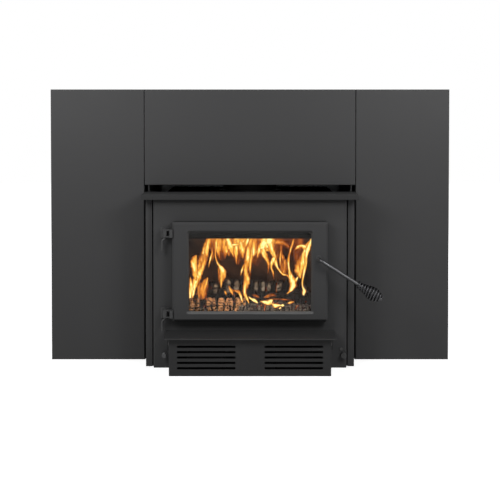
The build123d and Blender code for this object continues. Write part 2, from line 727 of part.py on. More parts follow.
# ---- Hinges ----
# A block with a vertical bore stands on the front panel. The door's lug has an ear above it and
# one below it, and a bent pin hangs through all three.
bracket_plate = (24.0, barrel_height + 2 * ear_thickness + 7.6, 4.0)
ear_radius = barrel_width / 2
ear_reach = barrel_height / 2 + seat_gap + ear_thickness
web_outer = -door_width / 2 - 5.5
web_front_out = door_out + 1
door_left = -door_width / 2
for name, height in hinge_heights.items():
    with BuildPart() as hinge_bracket:
        with BuildSketch(Plane.XZ.offset(front_out)):
            with Locations((hinge_x - 2, height)):
                RectangleRounded(bracket_plate[0], bracket_plate[1], 2)
        extrude(amount=bracket_plate[2])
        with BuildSketch(Plane.XY.offset(height - barrel_height / 2)):
            with Locations((hinge_x, -hinge_out)):
                Circle(ear_radius)
            with Locations((hinge_x, -(hinge_out + front_out + bracket_plate[2]) / 2)):
                Rectangle(barrel_width, hinge_out - front_out - bracket_plate[2])
        extrude(amount=barrel_height)
        with BuildSketch(Plane.XY.offset(height - barrel_height / 2)):
            with Locations((hinge_x, -hinge_out)):
                Circle(pin_diameter / 2 + running)
        extrude(amount=barrel_height, mode=Mode.SUBTRACT)
    hinge_bracket.part.label = f"hinge_bracket_{name}"
    export_step(hinge_bracket.part, f"parts/hinge_bracket_{name}.step")

    with BuildPart() as door_lug:
        for ear_bottom in (height + barrel_height / 2 + seat_gap, height - ear_reach):
            with BuildSketch(Plane.XY.offset(ear_bottom)):
                with Locations((hinge_x, -hinge_out)):
                    Circle(ear_radius)
                with Locations(((hinge_x + web_outer) / 2, -hinge_out)):
                    Rectangle(web_outer - hinge_x, barrel_width)
                with Locations((hinge_x, -hinge_out)):
                    Circle(pin_diameter / 2 + running, mode=Mode.SUBTRACT)
            extrude(amount=ear_thickness)
        with BuildSketch(Plane.XY.offset(height - ear_reach)):
            with BuildLine():
                Polyline(
                    (web_outer, -(hinge_out - ear_radius)), (web_outer, -web_front_out),
                    (door_left + 3, -web_front_out), (door_left + 3, -(door_out - door_bevel + 3)),
                    (door_left, -(door_out - door_bevel)), (door_left, -(hinge_out - ear_radius)),
                    close=True,
                )
            make_face()
        extrude(amount=2 * ear_reach)
    door_lug.part.label = f"door_lug_{name}"
    export_step(door_lug.part, f"parts/door_lug_{name}.step")

    with BuildPart() as hinge_pin:
        with BuildLine():
            FilletPolyline(
                (hinge_x, -hinge_out, height + ear_reach + 2),
                (hinge_x, -hinge_out, height - ear_reach - 3),
                (hinge_x - pin_offset, -hinge_out, height - ear_reach - 10),
                (hinge_x - pin_offset, -hinge_out, height - ear_reach - 10 - pin_tail),
                radius=pin_diameter,
            )
        with BuildSketch(Plane.XY.offset(height + ear_reach + 2)):
            with Locations((hinge_x, -hinge_out)):
                Circle(pin_diameter / 2)
        sweep()
    hinge_pin.part.label = f"hinge_pin_{name}"
    export_step(hinge_pin.part, f"parts/hinge_pin_{name}.step")

# ---- Latch and handle ----
spacer_front_out = door_rear_out - seat_gap
cam_front_out = front_rear - strike_thickness - 0.5
cam_rear_out = cam_front_out - cam_thickness
nut_rear_out = cam_rear_out - 6
shaft_rear_out = nut_rear_out - 1
slope = math.radians(handle_angle)
along = Vector(math.cos(slope), 0, math.sin(slope))
across = Vector(-math.sin(slope), 0, math.cos(slope))
outward = Vector(0, -1, 0)
knee = Vector(shaft_x, -handle_out, shaft_height)
rod_end = knee + along * (grip_start + grip_length + 1)

with BuildPart() as handle_bushing:
    with BuildSketch(Plane.XZ.offset(door_out)):
        with Locations((shaft_x, shaft_height)):
            Circle(shaft_diameter)
            Circle(shaft_diameter / 2 + running, mode=Mode.SUBTRACT)
    extrude(amount=3)
    chamfer(handle_bushing.faces().sort_by(Axis.Y)[0].outer_wire().edges(), 1)
handle_bushing.part.label = "handle_bushing"
export_step(handle_bushing.part, "parts/handle_bushing.step")

with BuildPart() as handle_rod:
    with BuildLine():
        FilletPolyline((shaft_x, -shaft_rear_out, shaft_height), knee, rod_end, radius=handle_bend)
    with BuildSketch(Plane.XZ.offset(shaft_rear_out)):
        with Locations((shaft_x, shaft_height)):
            Circle(shaft_diameter / 2)
    sweep()
    fillet(handle_rod.faces().sort_by(Axis(knee, along))[-1].edges(), 2)
handle_rod.part.label = "handle_rod"
export_step(handle_rod.part, "parts/handle_rod.step")


def grip_place(turn):
    """A point of the coil grip's wire line: a spiral that swells and closes on the rod again."""
    share = turn / grip_turns
    closed_radius = shaft_diameter / 2 + grip_wire / 2 + seat_gap
    radius = closed_radius + grip_swell * math.sin(math.pi * share ** grip_skew) ** 1.2
    angle = 2 * math.pi * turn
    centre = knee + along * (grip_start + grip_wire / 2 + share * (grip_length - grip_wire))
    return centre + across * (radius * math.cos(angle)) + outward * (radius * math.sin(angle))


def grip_heading(turn):
    """The wire line's direction at a place, measured over a short step that stays on the spiral."""
    step = 1e-4
    low, high = max(turn - step, 0), min(turn + step, grip_turns)
    return (grip_place(high) - grip_place(low)).normalized()


def arc_from(start, heading, end):
    """The arc that leaves start along heading and arrives at end."""
    chord = end - start
    reach = chord.length ** 2 / (2 * chord.dot(heading))
    corner = start + heading * reach
    middle = (start + end) * 0.5
    half_chord, rise = chord.length / 2, (corner - middle).length
    half_angle = math.atan2(rise, half_chord)
    sagitta = half_chord * math.tan(half_angle / 2)
    return ThreePointArc(start, middle + (corner - middle) * (sagitta / rise), end)


def biarc(start, heading, end, end_heading):
    """Two arcs that leave start along heading and reach end along end_heading."""
    chord, both = end - start, heading + end_heading
    bend = 2 * (1 - heading.dot(end_heading))
    run = chord.dot(both)
    reach = (math.sqrt(run * run + bend * chord.dot(chord)) - run) / bend
    joint = (start + end + (heading - end_heading) * reach) * 0.5
    joint_heading = (end - end_heading * reach - (start + heading * reach)).normalized()
    arc_from(start, heading, joint)
    arc_from(joint, joint_heading, end)


quarter_turns = [step / 4 for step in range(4 * grip_turns + 1)]
grip_first, grip_last = grip_place(0), grip_place(grip_turns)
grip_tail = grip_first - grip_heading(0) * grip_wire
grip_tip = grip_last + grip_heading(grip_turns) * grip_wire
with BuildPart() as handle_coil:
    with BuildLine() as grip_line:
        Line(grip_tail, grip_first)
        for turn, following in zip(quarter_turns, quarter_turns[1:]):
            biarc(grip_place(turn), grip_heading(turn), grip_place(following), grip_heading(following))
        Line(grip_last, grip_tip)
    with BuildSketch(Plane(grip_tail, z_dir=grip_heading(0))):
        Circle(grip_wire / 2)
    sweep(path=grip_line.wires()[0])
handle_coil.part.label = "handle_coil"
export_step(handle_coil.part, "parts/handle_coil.step")

samples_per_turn = 32
samples = [grip_place(step / samples_per_turn) for step in range(samples_per_turn * grip_turns + 1)]
least_gap = min(
    (later - earlier).length
    for place, earlier in enumerate(samples) for later in samples[place + samples_per_turn // 2:]
) - grip_wire
print("coil grip: least gap between turns", round(least_gap, 2), "mm")

with BuildPart() as latch_cam:
    with BuildSketch(Plane.XZ.offset(cam_rear_out)):
        with Locations((shaft_x, shaft_height)):
            Circle(cam_width)
        with Locations(Location((shaft_x, shaft_height), cam_angle)):
            with Locations((cam_reach / 2, 0)):
                SlotOverall(cam_reach + cam_width, cam_width)
        with Locations((shaft_x, shaft_height)):
            Circle(shaft_diameter / 2 + running, mode=Mode.SUBTRACT)
    extrude(amount=cam_thickness)
latch_cam.part.label = "latch_cam"
export_step(latch_cam.part, "parts/latch_cam.step")

with BuildPart() as latch_spacer:
    with BuildSketch(Plane.XZ.offset(cam_front_out)):
        with Locations((shaft_x, shaft_height)):
            Circle(shaft_diameter / 2 + 2.4)
            Circle(shaft_diameter / 2 + running, mode=Mode.SUBTRACT)
    extrude(amount=spacer_front_out - cam_front_out)
latch_spacer.part.label = "latch_spacer"
export_step(latch_spacer.part, "parts/latch_spacer.step")

with BuildPart() as latch_nut:
    with BuildSketch(Plane.XZ.offset(nut_rear_out)):
        with Locations((shaft_x, shaft_height)):
            RegularPolygon(7.9, 6)
            Circle(shaft_diameter / 2 + running, mode=Mode.SUBTRACT)
    extrude(amount=cam_rear_out - nut_rear_out)
latch_nut.part.label = "latch_nut"
export_step(latch_nut.part, "parts/latch_nut.step")

strike_edge = opening_width / 2 + 1
with BuildPart() as latch_strike:
    with BuildSketch(Plane.XZ.offset(front_rear - strike_thickness)):
        with Locations((strike_edge + 10, shaft_height + cam_width)):
            Rectangle(20, 60)
    extrude(amount=strike_thickness)
    chamfer(latch_strike.faces().sort_by(Axis.Y)[-1].edges().filter_by(Axis.Z).sort_by(Axis.X)[0], 2)
latch_strike.part.label = "latch_strike"
export_step(latch_strike.part, "parts/latch_strike.step")

# ---- Blower ----
tab_width, tab_height, tab_place = 12.0, 30.0, 65.0
grommet_out, grommet_height, grommet_radius, cord_radius = front_out + 25, 20.0, 7.0, 4.0
with BuildPart() as blower_box:
    with BuildSketch(Plane.XZ.offset(front_out)):
        with Locations((0, blower_height / 2)):
            Rectangle(blower_width, blower_height)
    extrude(amount=blower_out - front_out)
    fillet(blower_box.edges().filter_by(Axis.Z).group_by(Axis.Y)[0], surround_bend)
    with BuildSketch(Plane.XZ.offset(front_out)):
        with Locations((0, blower_height / 2)):
            Rectangle(blower_width - 2 * blower_sheet, blower_height - 2 * blower_sheet)
    extrude(amount=blower_out - front_out - blower_sheet, mode=Mode.SUBTRACT)
    with BuildSketch(Plane.XZ.offset(blower_out)):
        with Locations((0, slot_centre_height)):
            with GridLocations(2 * fan_x, slot_pitch, 2, slot_rows):
                RectangleRounded(slot_length, slot_height, 1.2)
    extrude(amount=-blower_sheet, mode=Mode.SUBTRACT)
    with BuildSketch(Plane.XZ.offset(front_out)):
        for side in SIDES.values():
            with Locations((side * (blower_width + tab_width) / 2, tab_place)):
                Rectangle(tab_width, tab_height)
    extrude(amount=blower_sheet)
    with BuildSketch(Plane.YZ.offset(blower_width / 2)):
        with Locations((-grommet_out, grommet_height)):
            Circle(grommet_radius)
    extrude(amount=-blower_sheet, mode=Mode.SUBTRACT)
blower_box.part.label = "blower_box"
export_step(blower_box.part, "parts/blower_box.step")

# Round-headed screws: one through each tab of the blower, and one that holds the speed control.
tab_screws = [(side * (blower_width + tab_width) / 2, tab_place, blower_sheet) for side in SIDES.values()]
with BuildPart() as panel_screws:
    for screw_at, screw_height, stack in tab_screws + [(*speed_screw, 0)]:
        with BuildSketch(Plane.XZ.offset(front_out + stack)):
            with Locations((screw_at, screw_height)):
                Circle(panel_screw_radius)
        extrude(amount=panel_screw_head)
    screw_fronts = [face for face in panel_screws.faces().filter_by(Axis.Y) if face.normal_at().Y < 0]
    fillet([edge for face in screw_fronts for edge in face.edges()], panel_screw_head / 2)
panel_screws.part.label = "panel_screws"
export_step(panel_screws.part, "parts/panel_screws.step")

with BuildPart() as cord_grommet:
    with BuildSketch(Plane.YZ.offset(blower_width / 2 + 2)):
        with Locations((-grommet_out, grommet_height)):
            Circle(grommet_radius + 2)
    extrude(amount=-2)
    with BuildSketch(Plane.YZ.offset(blower_width / 2)):
        with Locations((-grommet_out, grommet_height)):
            Circle(grommet_radius - screw_clearance)
    extrude(amount=-blower_sheet)
    with BuildSketch(Plane.YZ.offset(blower_width / 2 - blower_sheet)):
        with Locations((-grommet_out, grommet_height)):
            Circle(grommet_radius + 2)
    extrude(amount=-2)
    with BuildSketch(Plane.YZ.offset(blower_width / 2 + 2)):
        with Locations((-grommet_out, grommet_height)):
            Circle(cord_radius)
    extrude(amount=-4 - blower_sheet, mode=Mode.SUBTRACT)
cord_grommet.part.label = "cord_grommet"
export_step(cord_grommet.part, "parts/cord_grommet.step")

# Each fan: a sheet scroll that blows back under the firebox, and a bladed wheel inside it.
throat_length = fan_out - front_out
for name, side in SIDES.items():
    scroll_start = side * fan_x - scroll_width / 2
    with BuildPart() as fan_scroll:
        with BuildSketch(Plane.YZ.offset(scroll_start)):
            with Locations((-fan_out, fan_height)):
                Circle(scroll_radius)
            with Locations((-fan_out + throat_length / 2, throat_bottom + throat_height / 2)):
                Rectangle(throat_length, throat_height)
        extrude(amount=scroll_width)
        with BuildSketch(Plane.YZ.offset(scroll_start + scroll_sheet)):
            with Locations((-fan_out, fan_height)):
                Circle(scroll_radius - scroll_sheet)
            with Locations((-fan_out + throat_length / 2, throat_bottom + throat_height / 2)):
                Rectangle(throat_length, throat_height - 2 * scroll_sheet)
        extrude(amount=scroll_width - 2 * scroll_sheet, mode=Mode.SUBTRACT)
        with BuildSketch(Plane.YZ.offset(scroll_start)):
            with Locations((-fan_out, fan_height)):
                Circle(fan_inlet_radius)
        extrude(amount=scroll_width, mode=Mode.SUBTRACT)
    fan_scroll.part.label = f"fan_scroll_{name}"
    export_step(fan_scroll.part, f"parts/fan_scroll_{name}.step")

    wheel_start = side * fan_x - wheel_length / 2
    wheel_plane = Plane((wheel_start, -fan_out, fan_height), x_dir=(0, 1, 0), z_dir=(1, 0, 0))
    with BuildPart() as fan_wheel:
        with BuildSketch(wheel_plane):
            with PolarLocations(wheel_radius - blade_depth / 2 - 0.5, blade_count):
                Rectangle(blade_depth - 1, 1.4, rotation=30)
        extrude(amount=wheel_length)
        for ring_start in (0, wheel_length - 2):
            with BuildSketch(wheel_plane.offset(ring_start)):
                Circle(wheel_radius)
                Circle(wheel_radius - blade_depth, mode=Mode.SUBTRACT)
            extrude(amount=2)
        with BuildSketch(wheel_plane.offset(wheel_length / 2 - 1)):
            Circle(wheel_radius)
        extrude(amount=2)
        with BuildSketch(wheel_plane.offset(wheel_length / 2 - 10)):
            Circle(rotor_shaft_diameter)
        extrude(amount=20)
        with BuildSketch(wheel_plane.offset(wheel_length / 2 - 10)):
            Circle(rotor_shaft_diameter / 2 + running)
        extrude(amount=20, mode=Mode.SUBTRACT)
    fan_wheel.part.label = f"fan_wheel_{name}"
    export_step(fan_wheel.part, f"parts/fan_wheel_{name}.step")

rotor_length = 2 * (fan_x + 14)
stator_radius, core_length, cap_thickness = motor_radius - 11, 36.0, 5.0
core_radius = stator_radius - 1
with BuildPart() as rotor_shaft:
    with BuildSketch(Plane((-rotor_length / 2, -fan_out, fan_height), x_dir=(0, 1, 0), z_dir=(1, 0, 0))):
        Circle(rotor_shaft_diameter / 2)
    extrude(amount=rotor_length)
    with BuildSketch(Plane((-core_length / 2, -fan_out, fan_height), x_dir=(0, 1, 0), z_dir=(1, 0, 0))):
        Circle(core_radius)
    extrude(amount=core_length)
rotor_shaft.part.label = "rotor_shaft"
export_step(rotor_shaft.part, "parts/rotor_shaft.step")

motor_plane = Plane((-motor_length / 2, -fan_out, fan_height), x_dir=(0, 1, 0), z_dir=(1, 0, 0))
with BuildPart() as motor_housing:
    with BuildSketch(motor_plane):
        Circle(motor_radius)
    extrude(amount=motor_length)
    fillet(motor_housing.edges(), 3)
    with BuildSketch(motor_plane.offset(cap_thickness)):
        Circle(stator_radius)
    extrude(amount=motor_length - 2 * cap_thickness, mode=Mode.SUBTRACT)
    with BuildSketch(motor_plane):
        Circle(rotor_shaft_diameter / 2 + running)
    extrude(amount=motor_length, mode=Mode.SUBTRACT)
motor_housing.part.label = "motor_housing"
export_step(motor_housing.part, "parts/motor_housing.step")

saddle_width, saddle_depth, saddle_sheet = 44.0, 70.0, 2.0
saddle_top = fan_height - motor_radius + 18
saddle_height = saddle_top - blower_sheet
with BuildPart() as motor_saddle:
    with BuildSketch(Plane.XY.offset(blower_sheet)):
        with Locations((0, -fan_out)):
            Rectangle(saddle_width, saddle_depth)
    extrude(amount=saddle_height)
    with BuildSketch(Plane.XY.offset(blower_sheet + saddle_sheet)):
        with Locations((0, -fan_out)):
            Rectangle(saddle_width - 2 * saddle_sheet, saddle_depth)
    extrude(amount=saddle_height, mode=Mode.SUBTRACT)
    with BuildSketch(motor_plane):
        Circle(motor_radius + screw_clearance)
    extrude(amount=motor_length, mode=Mode.SUBTRACT)
motor_saddle.part.label = "motor_saddle"
export_step(motor_saddle.part, "parts/motor_saddle.step")

# ---- Speed control ----
control_size = (18.0, 36.0, 30.0)
with BuildPart() as speed_control:
    with BuildSketch(Plane.XZ.offset(front_rear)):
        with Locations((speed_body_x, speed_height)):
            RectangleRounded(control_size[0], control_size[1], 2)
        with Locations((speed_x, speed_height)):
            Circle(speed_stem_diameter / 2 + running, mode=Mode.SUBTRACT)
    extrude(amount=-control_size[2])
speed_control.part.label = "speed_control"
export_step(speed_control.part, "parts/speed_control.step")

knob_gap, knob_length, stem_depth = 1.5, 12.0, 14.0
with BuildPart() as speed_knob:
    with BuildSketch(Plane.XZ.offset(front_out + knob_gap)):
        with Locations((speed_x, speed_height)):
            Circle(speed_knob_radius)
    extrude(amount=knob_length)
    chamfer(speed_knob.faces().sort_by(Axis.Y)[0].edges(), 1)
    with BuildSketch(Plane.XZ.offset(front_out + knob_gap + knob_length)):
        with Locations((speed_x, speed_height + speed_knob_radius / 2)):
            Rectangle(1.5, speed_knob_radius)
    extrude(amount=-1, mode=Mode.SUBTRACT)
    with BuildSketch(Plane.XZ.offset(front_rear - stem_depth)):
        with Locations((speed_x, speed_height)):
            Circle(speed_stem_diameter / 2)
    extrude(amount=stem_depth + front_sheet + knob_gap)
speed_knob.part.label = "speed_knob"
export_step(speed_knob.part, "parts/speed_knob.step")

# ---- Air control: a knob and rod that slide a plate over the air port under the firebox ----
damper_top = firebox_bottom - 0.5
rail_left = air_x - damper_edge
damper_back = air_port_length + 10
tab_back, tab_thickness, tab_wide = 30.0, 3.0, 5.0
air_rod_rear = 45.0
with BuildPart() as air_knob:
    with BuildSketch(Plane((air_x, 0, air_height), x_dir=(1, 0, 0), z_dir=(0, 0, 1))):
        with BuildLine():
            Line((0, -air_knob_out), (air_knob_radius - 3, -air_knob_out))
            RadiusArc((air_knob_radius - 3, -air_knob_out), (air_knob_radius, 3 - air_knob_out), 3)
            Line((air_knob_radius, 3 - air_knob_out), (air_knob_radius, 10 - air_knob_out))
            Line((air_knob_radius, 10 - air_knob_out), (air_knob_radius - 2, air_knob_length - air_knob_out))
            Line((air_knob_radius - 2, air_knob_length - air_knob_out), (0, air_knob_length - air_knob_out))
            Line((0, air_knob_length - air_knob_out), (0, -air_knob_out))
        make_face()
    revolve(axis=Axis((air_x, 0, air_height), (0, 1, 0)))
air_knob.part.label = "air_knob"
export_step(air_knob.part, "parts/air_knob.step")

air_rod_front_out = air_knob_out - air_knob_length
with BuildPart() as air_rod:
    with BuildSketch(Plane.XZ.offset(air_rod_front_out)):
        with Locations((air_x, air_height)):
            Circle(air_rod_diameter / 2)
    extrude(amount=-air_rod_front_out - air_rod_rear)
air_rod.part.label = "air_rod"
export_step(air_rod.part, "parts/air_rod.step")

with BuildPart() as air_damper:
    with BuildSketch(Plane.XY.offset(damper_top)):
        with Locations((rail_left + damper_width / 2, damper_back - damper_length / 2)):
            Rectangle(damper_width, damper_length)
    extrude(amount=-damper_thickness)
    with BuildSketch(Plane.XZ.offset(-tab_back)):
        with Locations((air_x, (damper_top + air_height) / 2)):
            Rectangle(tab_wide, damper_top - air_height)
        with Locations((air_x, air_height)):
            Circle(air_rod_diameter)
            Circle(air_rod_diameter / 2 + running, mode=Mode.SUBTRACT)
    extrude(amount=-tab_thickness)
air_damper.part.label = "air_damper"
export_step(air_damper.part, "parts/air_damper.step")

rail_sheet, rail_lip = 3.0, 2.0
rail_bottom = damper_top - damper_thickness - seat_gap - rail_sheet / 2
rail_rear, rail_front = damper_back + 2, front_rear - 7
with BuildPart() as damper_rails:
    for side, edge in ((-1, rail_left - 0.5), (1, rail_left + damper_width + 0.5)):
        with BuildSketch(Plane.XZ.offset(rail_front)):
            with Locations((edge + side * rail_sheet / 2, (rail_bottom + firebox_bottom) / 2)):
                Rectangle(rail_sheet, firebox_bottom - rail_bottom)
            with Locations((edge - side * rail_lip / 2, rail_bottom + rail_sheet / 4)):
                Rectangle(rail_lip, rail_sheet / 2)
        extrude(amount=-rail_front - rail_rear)
damper_rails.part.label = "damper_rails"
export_step(damper_rails.part, "parts/damper_rails.step")
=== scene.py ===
# A wood-burning fireplace insert with its fire lit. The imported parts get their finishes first; then
# come the fire (logs, embers, flames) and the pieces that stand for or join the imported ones: the
# casing's pressed back sheet, its screws and the door's braided rope.
import math

import bpy
import numpy as np
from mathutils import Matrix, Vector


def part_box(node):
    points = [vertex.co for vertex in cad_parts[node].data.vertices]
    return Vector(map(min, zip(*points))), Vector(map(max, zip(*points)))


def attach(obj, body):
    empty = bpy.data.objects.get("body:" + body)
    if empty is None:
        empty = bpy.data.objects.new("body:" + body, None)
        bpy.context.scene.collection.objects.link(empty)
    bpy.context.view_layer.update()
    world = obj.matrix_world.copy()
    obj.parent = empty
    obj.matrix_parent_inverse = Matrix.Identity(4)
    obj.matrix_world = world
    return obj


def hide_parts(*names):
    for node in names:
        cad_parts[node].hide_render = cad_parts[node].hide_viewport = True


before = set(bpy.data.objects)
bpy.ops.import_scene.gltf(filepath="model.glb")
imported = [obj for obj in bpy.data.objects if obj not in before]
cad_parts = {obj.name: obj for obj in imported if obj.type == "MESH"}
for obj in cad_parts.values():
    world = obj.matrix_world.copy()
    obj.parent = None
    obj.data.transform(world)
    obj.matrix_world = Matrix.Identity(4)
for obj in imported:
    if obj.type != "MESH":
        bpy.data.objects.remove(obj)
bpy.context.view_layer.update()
scene = bpy.context.scene
scene.view_settings.view_transform = "Standard"

# ---- Camera ----
# The camera stands about three metres away, level with the surround's upper part, and looks down a
# little; the lens's shift brings the hearth into the frame and keeps upright edges nearly upright.
EYE = (0.0, -2.9081, 0.6567)
LOOK_DOWN = 0.0274
FOCAL_LENGTH = 74.655
LENS_SHIFT = -0.19
camera_data = bpy.data.cameras.new("studio_camera")
camera_data.sensor_width = 36.0
camera_data.lens = FOCAL_LENGTH
camera_data.shift_y = LENS_SHIFT
camera = bpy.data.objects.new("studio_camera", camera_data)
camera.location = EYE
camera.rotation_euler = (math.pi / 2 - LOOK_DOWN, 0.0, 0.0)
scene.collection.objects.link(camera)
scene.camera = camera

# ---- Studio: floor, white surroundings and soft lamps ----
# A white cove, which fades to nothing in the picture, with two tall soft boxes high in front and
# a weak one behind, so that the insert's face is lighter at its top than at its foot.
FLOOR_HALF = 9.0
FLOOR_TONE = 0.60
FLOOR_GLOW, GLOW_FADE = 0.72, (0.8, 2.6)
CASING_FOOT = {"X": (-0.278, 0.278), "Y": (-0.078, 0.394)}
SOFT_FILL = 0.12


def put(tree, kind, sockets=(), **settings):
    """A node of a kind, with settings, and sockets given as values or as other nodes' outputs."""
    new = tree.nodes.new(kind)
    for key, value in settings.items():
        setattr(new, key, value)
    for key, value in dict(sockets).items():
        if isinstance(value, bpy.types.NodeSocket):
            tree.links.new(value, new.inputs[key])
        else:
            new.inputs[key].default_value = value
    return new


def calc(tree, operation, *values):
    """The result of one arithmetic node; each value is a number or another node's output."""
    return put(tree, "ShaderNodeMath", dict(enumerate(values)), operation=operation).outputs[0]


def span(tree, value, low, high, from_low=0.0, from_high=1.0):
    """A value mapped from one range to another, and held inside it."""
    return put(tree, "ShaderNodeMapRange", {"Value": value, "From Min": from_low, "From Max": from_high,
                                            "To Min": low, "To Max": high}).outputs[0]


def rgba(tone):
    """A colour, or a grey given as one number, as an opaque colour."""
    return (tone, tone, tone, 1.0) if isinstance(tone, float) else (*tone, 1.0)


def seen_ray(tree):
    """1 for rays that show the surroundings, straight, mirrored or through glass, and 0 for light."""
    path = put(tree, "ShaderNodeLightPath").outputs
    mirrored = calc(tree, "MAXIMUM", path["Is Camera Ray"], path["Is Glossy Ray"])
    return calc(tree, "MAXIMUM", mirrored, path["Is Transmission Ray"])


def axes(tree):
    """A point's places along X, Y and Z, in metres."""
    return put(tree, "ShaderNodeSeparateXYZ", {0: put(tree, "ShaderNodeTexCoord").outputs["Object"]}).outputs


def past_box(tree, **sides):
    """How far a point lies outside a box, given by its least and greatest place on each named axis:
    the greatest of its distances past the sides, each the folded place less the half size."""
    place = axes(tree)
    reach = None
    for axis, (least, most) in sides.items():
        folded = calc(tree, "ABSOLUTE", calc(tree, "SUBTRACT", place[axis], (least + most) / 2))
        past = calc(tree, "SUBTRACT", folded, (most - least) / 2)
        reach = past if reach is None else calc(tree, "MAXIMUM", reach, past)
    return reach


cove = bpy.data.worlds.new("white_cove")
cove.use_nodes = True
cove_tree = cove.node_tree
cove_light = cove_tree.nodes["Background"]
cove_light.inputs["Color"].default_value = rgba(1.0)
cove_tree.links.new(span(cove_tree, seen_ray(cove_tree), SOFT_FILL, 1.0), cove_light.inputs["Strength"])
scene.world = cove

floor_finish = bpy.data.materials.new("pale_floor")
floor_finish.use_nodes = True
floor_tree = floor_finish.node_tree
floor_tree.nodes.remove(floor_tree.nodes["Principled BSDF"])
floor_grain = put(floor_tree, "ShaderNodeTexNoise", {"Scale": 3.0, "Detail": 4.0}).outputs["Fac"]
floor_colour = span(floor_tree, floor_grain, FLOOR_TONE - 0.01, FLOOR_TONE)
floor_paint = put(floor_tree, "ShaderNodeBsdfDiffuse", {"Color": floor_colour})
floor_place = put(floor_tree, "ShaderNodeTexCoord").outputs["Object"]
floor_reach = put(floor_tree, "ShaderNodeVectorMath", {0: floor_place}, operation="LENGTH").outputs["Value"]
floor_fade = span(floor_tree, floor_reach, FLOOR_GLOW, 1.0, *GLOW_FADE)
# Under the casing the floor is dark, or it would show white through the thin gaps between sheets.
floor_open = calc(floor_tree, "GREATER_THAN", past_box(floor_tree, **CASING_FOOT), 0.0)
floor_seen = calc(floor_tree, "MULTIPLY", seen_ray(floor_tree), floor_open)
floor_lift = calc(floor_tree, "MULTIPLY", floor_seen, floor_fade)
floor_glow = put(floor_tree, "ShaderNodeEmission", {"Strength": floor_lift})
floor_sum = put(floor_tree, "ShaderNodeAddShader", {0: floor_paint.outputs[0], 1: floor_glow.outputs[0]})
floor_tree.links.new(floor_sum.outputs[0], floor_tree.nodes["Material Output"].inputs["Surface"])
floor_mesh = bpy.data.meshes.new("studio_floor")
floor_corners = [(x * FLOOR_HALF, y * FLOOR_HALF, 0) for x, y in ((-1, -1), (1, -1), (1, 1), (-1, 1))]
floor_mesh.from_pydata(floor_corners, [], [(0, 1, 2, 3)])
floor_mesh.materials.append(floor_finish)
studio_floor = bpy.data.objects.new("studio_floor", floor_mesh)
scene.collection.objects.link(studio_floor)


def soft_box(name, place, target, size, power):
    """A square soft lamp at a place, turned to face a target."""
    lamp_data = bpy.data.lights.new(name, "AREA")
    lamp_data.size = size
    lamp_data.energy = power
    lamp = bpy.data.objects.new(name, lamp_data)
    lamp.location = place
    reach = np.array(target) - np.array(place)
    flat_reach = math.hypot(reach[0], reach[1])
    lamp.visible_camera = False
    lamp.rotation_euler = (math.atan2(flat_reach, -reach[2]), 0.0,
                           math.atan2(reach[1], reach[0]) - math.pi / 2)
    scene.collection.objects.link(lamp)


for side in (-1, 1):
    soft_box(f"front_lamp_{side}", place=(side * 0.80, -1.00, 1.15), target=(side * 0.30, 0.0, 0.60),
             size=0.6, power=14.0)
soft_box("back_lamp", place=(0.4, 2.6, 2.2), target=(0.0, 0.2, 0.3), size=1.6, power=45.0)

bpy.context.view_layer.update()

# ---- Surround panels ----
# Three folded trays of 1.5 mm sheet steel, sprayed with satin-matt black stove enamel and baked.
# The spray leaves a fine orange-peel skin and a slight drift in tone over each panel.
def finish(name, colour, roughness, metallic=0.0, specular=0.5, **sockets):
    """A new material whose Principled shader has these plain values, and others by a socket's name with
    _ for a space; returns it and its node tree."""
    material = bpy.data.materials.new(name)
    material.use_nodes = True
    shader = material.node_tree.nodes["Principled BSDF"]
    shader.inputs["Base Color"].default_value = rgba(colour)
    shader.inputs["Roughness"].default_value = roughness
    shader.inputs["Metallic"].default_value = metallic
    shader.inputs["Specular IOR Level"].default_value = specular
    for socket, value in sockets.items():
        shader.inputs[socket.replace("_", " ")].default_value = value
    return material, material.node_tree


def feed(tree, socket, output):
    """Joins a node's output to a socket of the tree's Principled shader."""
    tree.links.new(output, tree.nodes["Principled BSDF"].inputs[socket])


def place_on(tree, stretch=(1.0, 1.0, 1.0), turn=(0.0, 0.0, 0.0)):
    """Object coordinates, stretched and turned."""
    coordinates = put(tree, "ShaderNodeTexCoord")
    return put(tree, "ShaderNodeMapping", {"Vector": coordinates.outputs["Object"], "Scale": stretch,
                                           "Rotation": turn}).outputs["Vector"]


def noise(tree, scale, detail=3.0, roughness=0.5, distortion=0.0, **place):
    """Noise of a scale in features per metre, as a value near 0.5, stretched and turned as asked."""
    return put(tree, "ShaderNodeTexNoise", {"Vector": place_on(tree, **place), "Scale": scale,
                                            "Detail": detail, "Roughness": roughness,
                                            "Distortion": distortion}).outputs["Fac"]


def ramp(tree, value, stops):
    """A colour ramp with stops of (position, grey or colour)."""
    new = put(tree, "ShaderNodeValToRGB", {"Fac": value})
    while len(new.color_ramp.elements) < len(stops):
        new.color_ramp.elements.new(0.5)
    for element, (position, tone) in zip(new.color_ramp.elements, stops):
        element.position = position
        element.color = rgba(tone)
    return new.outputs["Color"]


def bump(tree, height, depth):
    """Raises the skin in the light by a height that is worth depth metres at 1."""
    new = put(tree, "ShaderNodeBump", {"Height": height, "Distance": depth, "Strength": 1.0})
    feed(tree, "Normal", new.outputs["Normal"])


def coat(material, *names):
    """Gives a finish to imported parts."""
    for name in names:
        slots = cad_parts[name].material_slots
        if not slots:
            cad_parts[name].data.materials.append(material)
        for slot in slots:
            slot.material = material


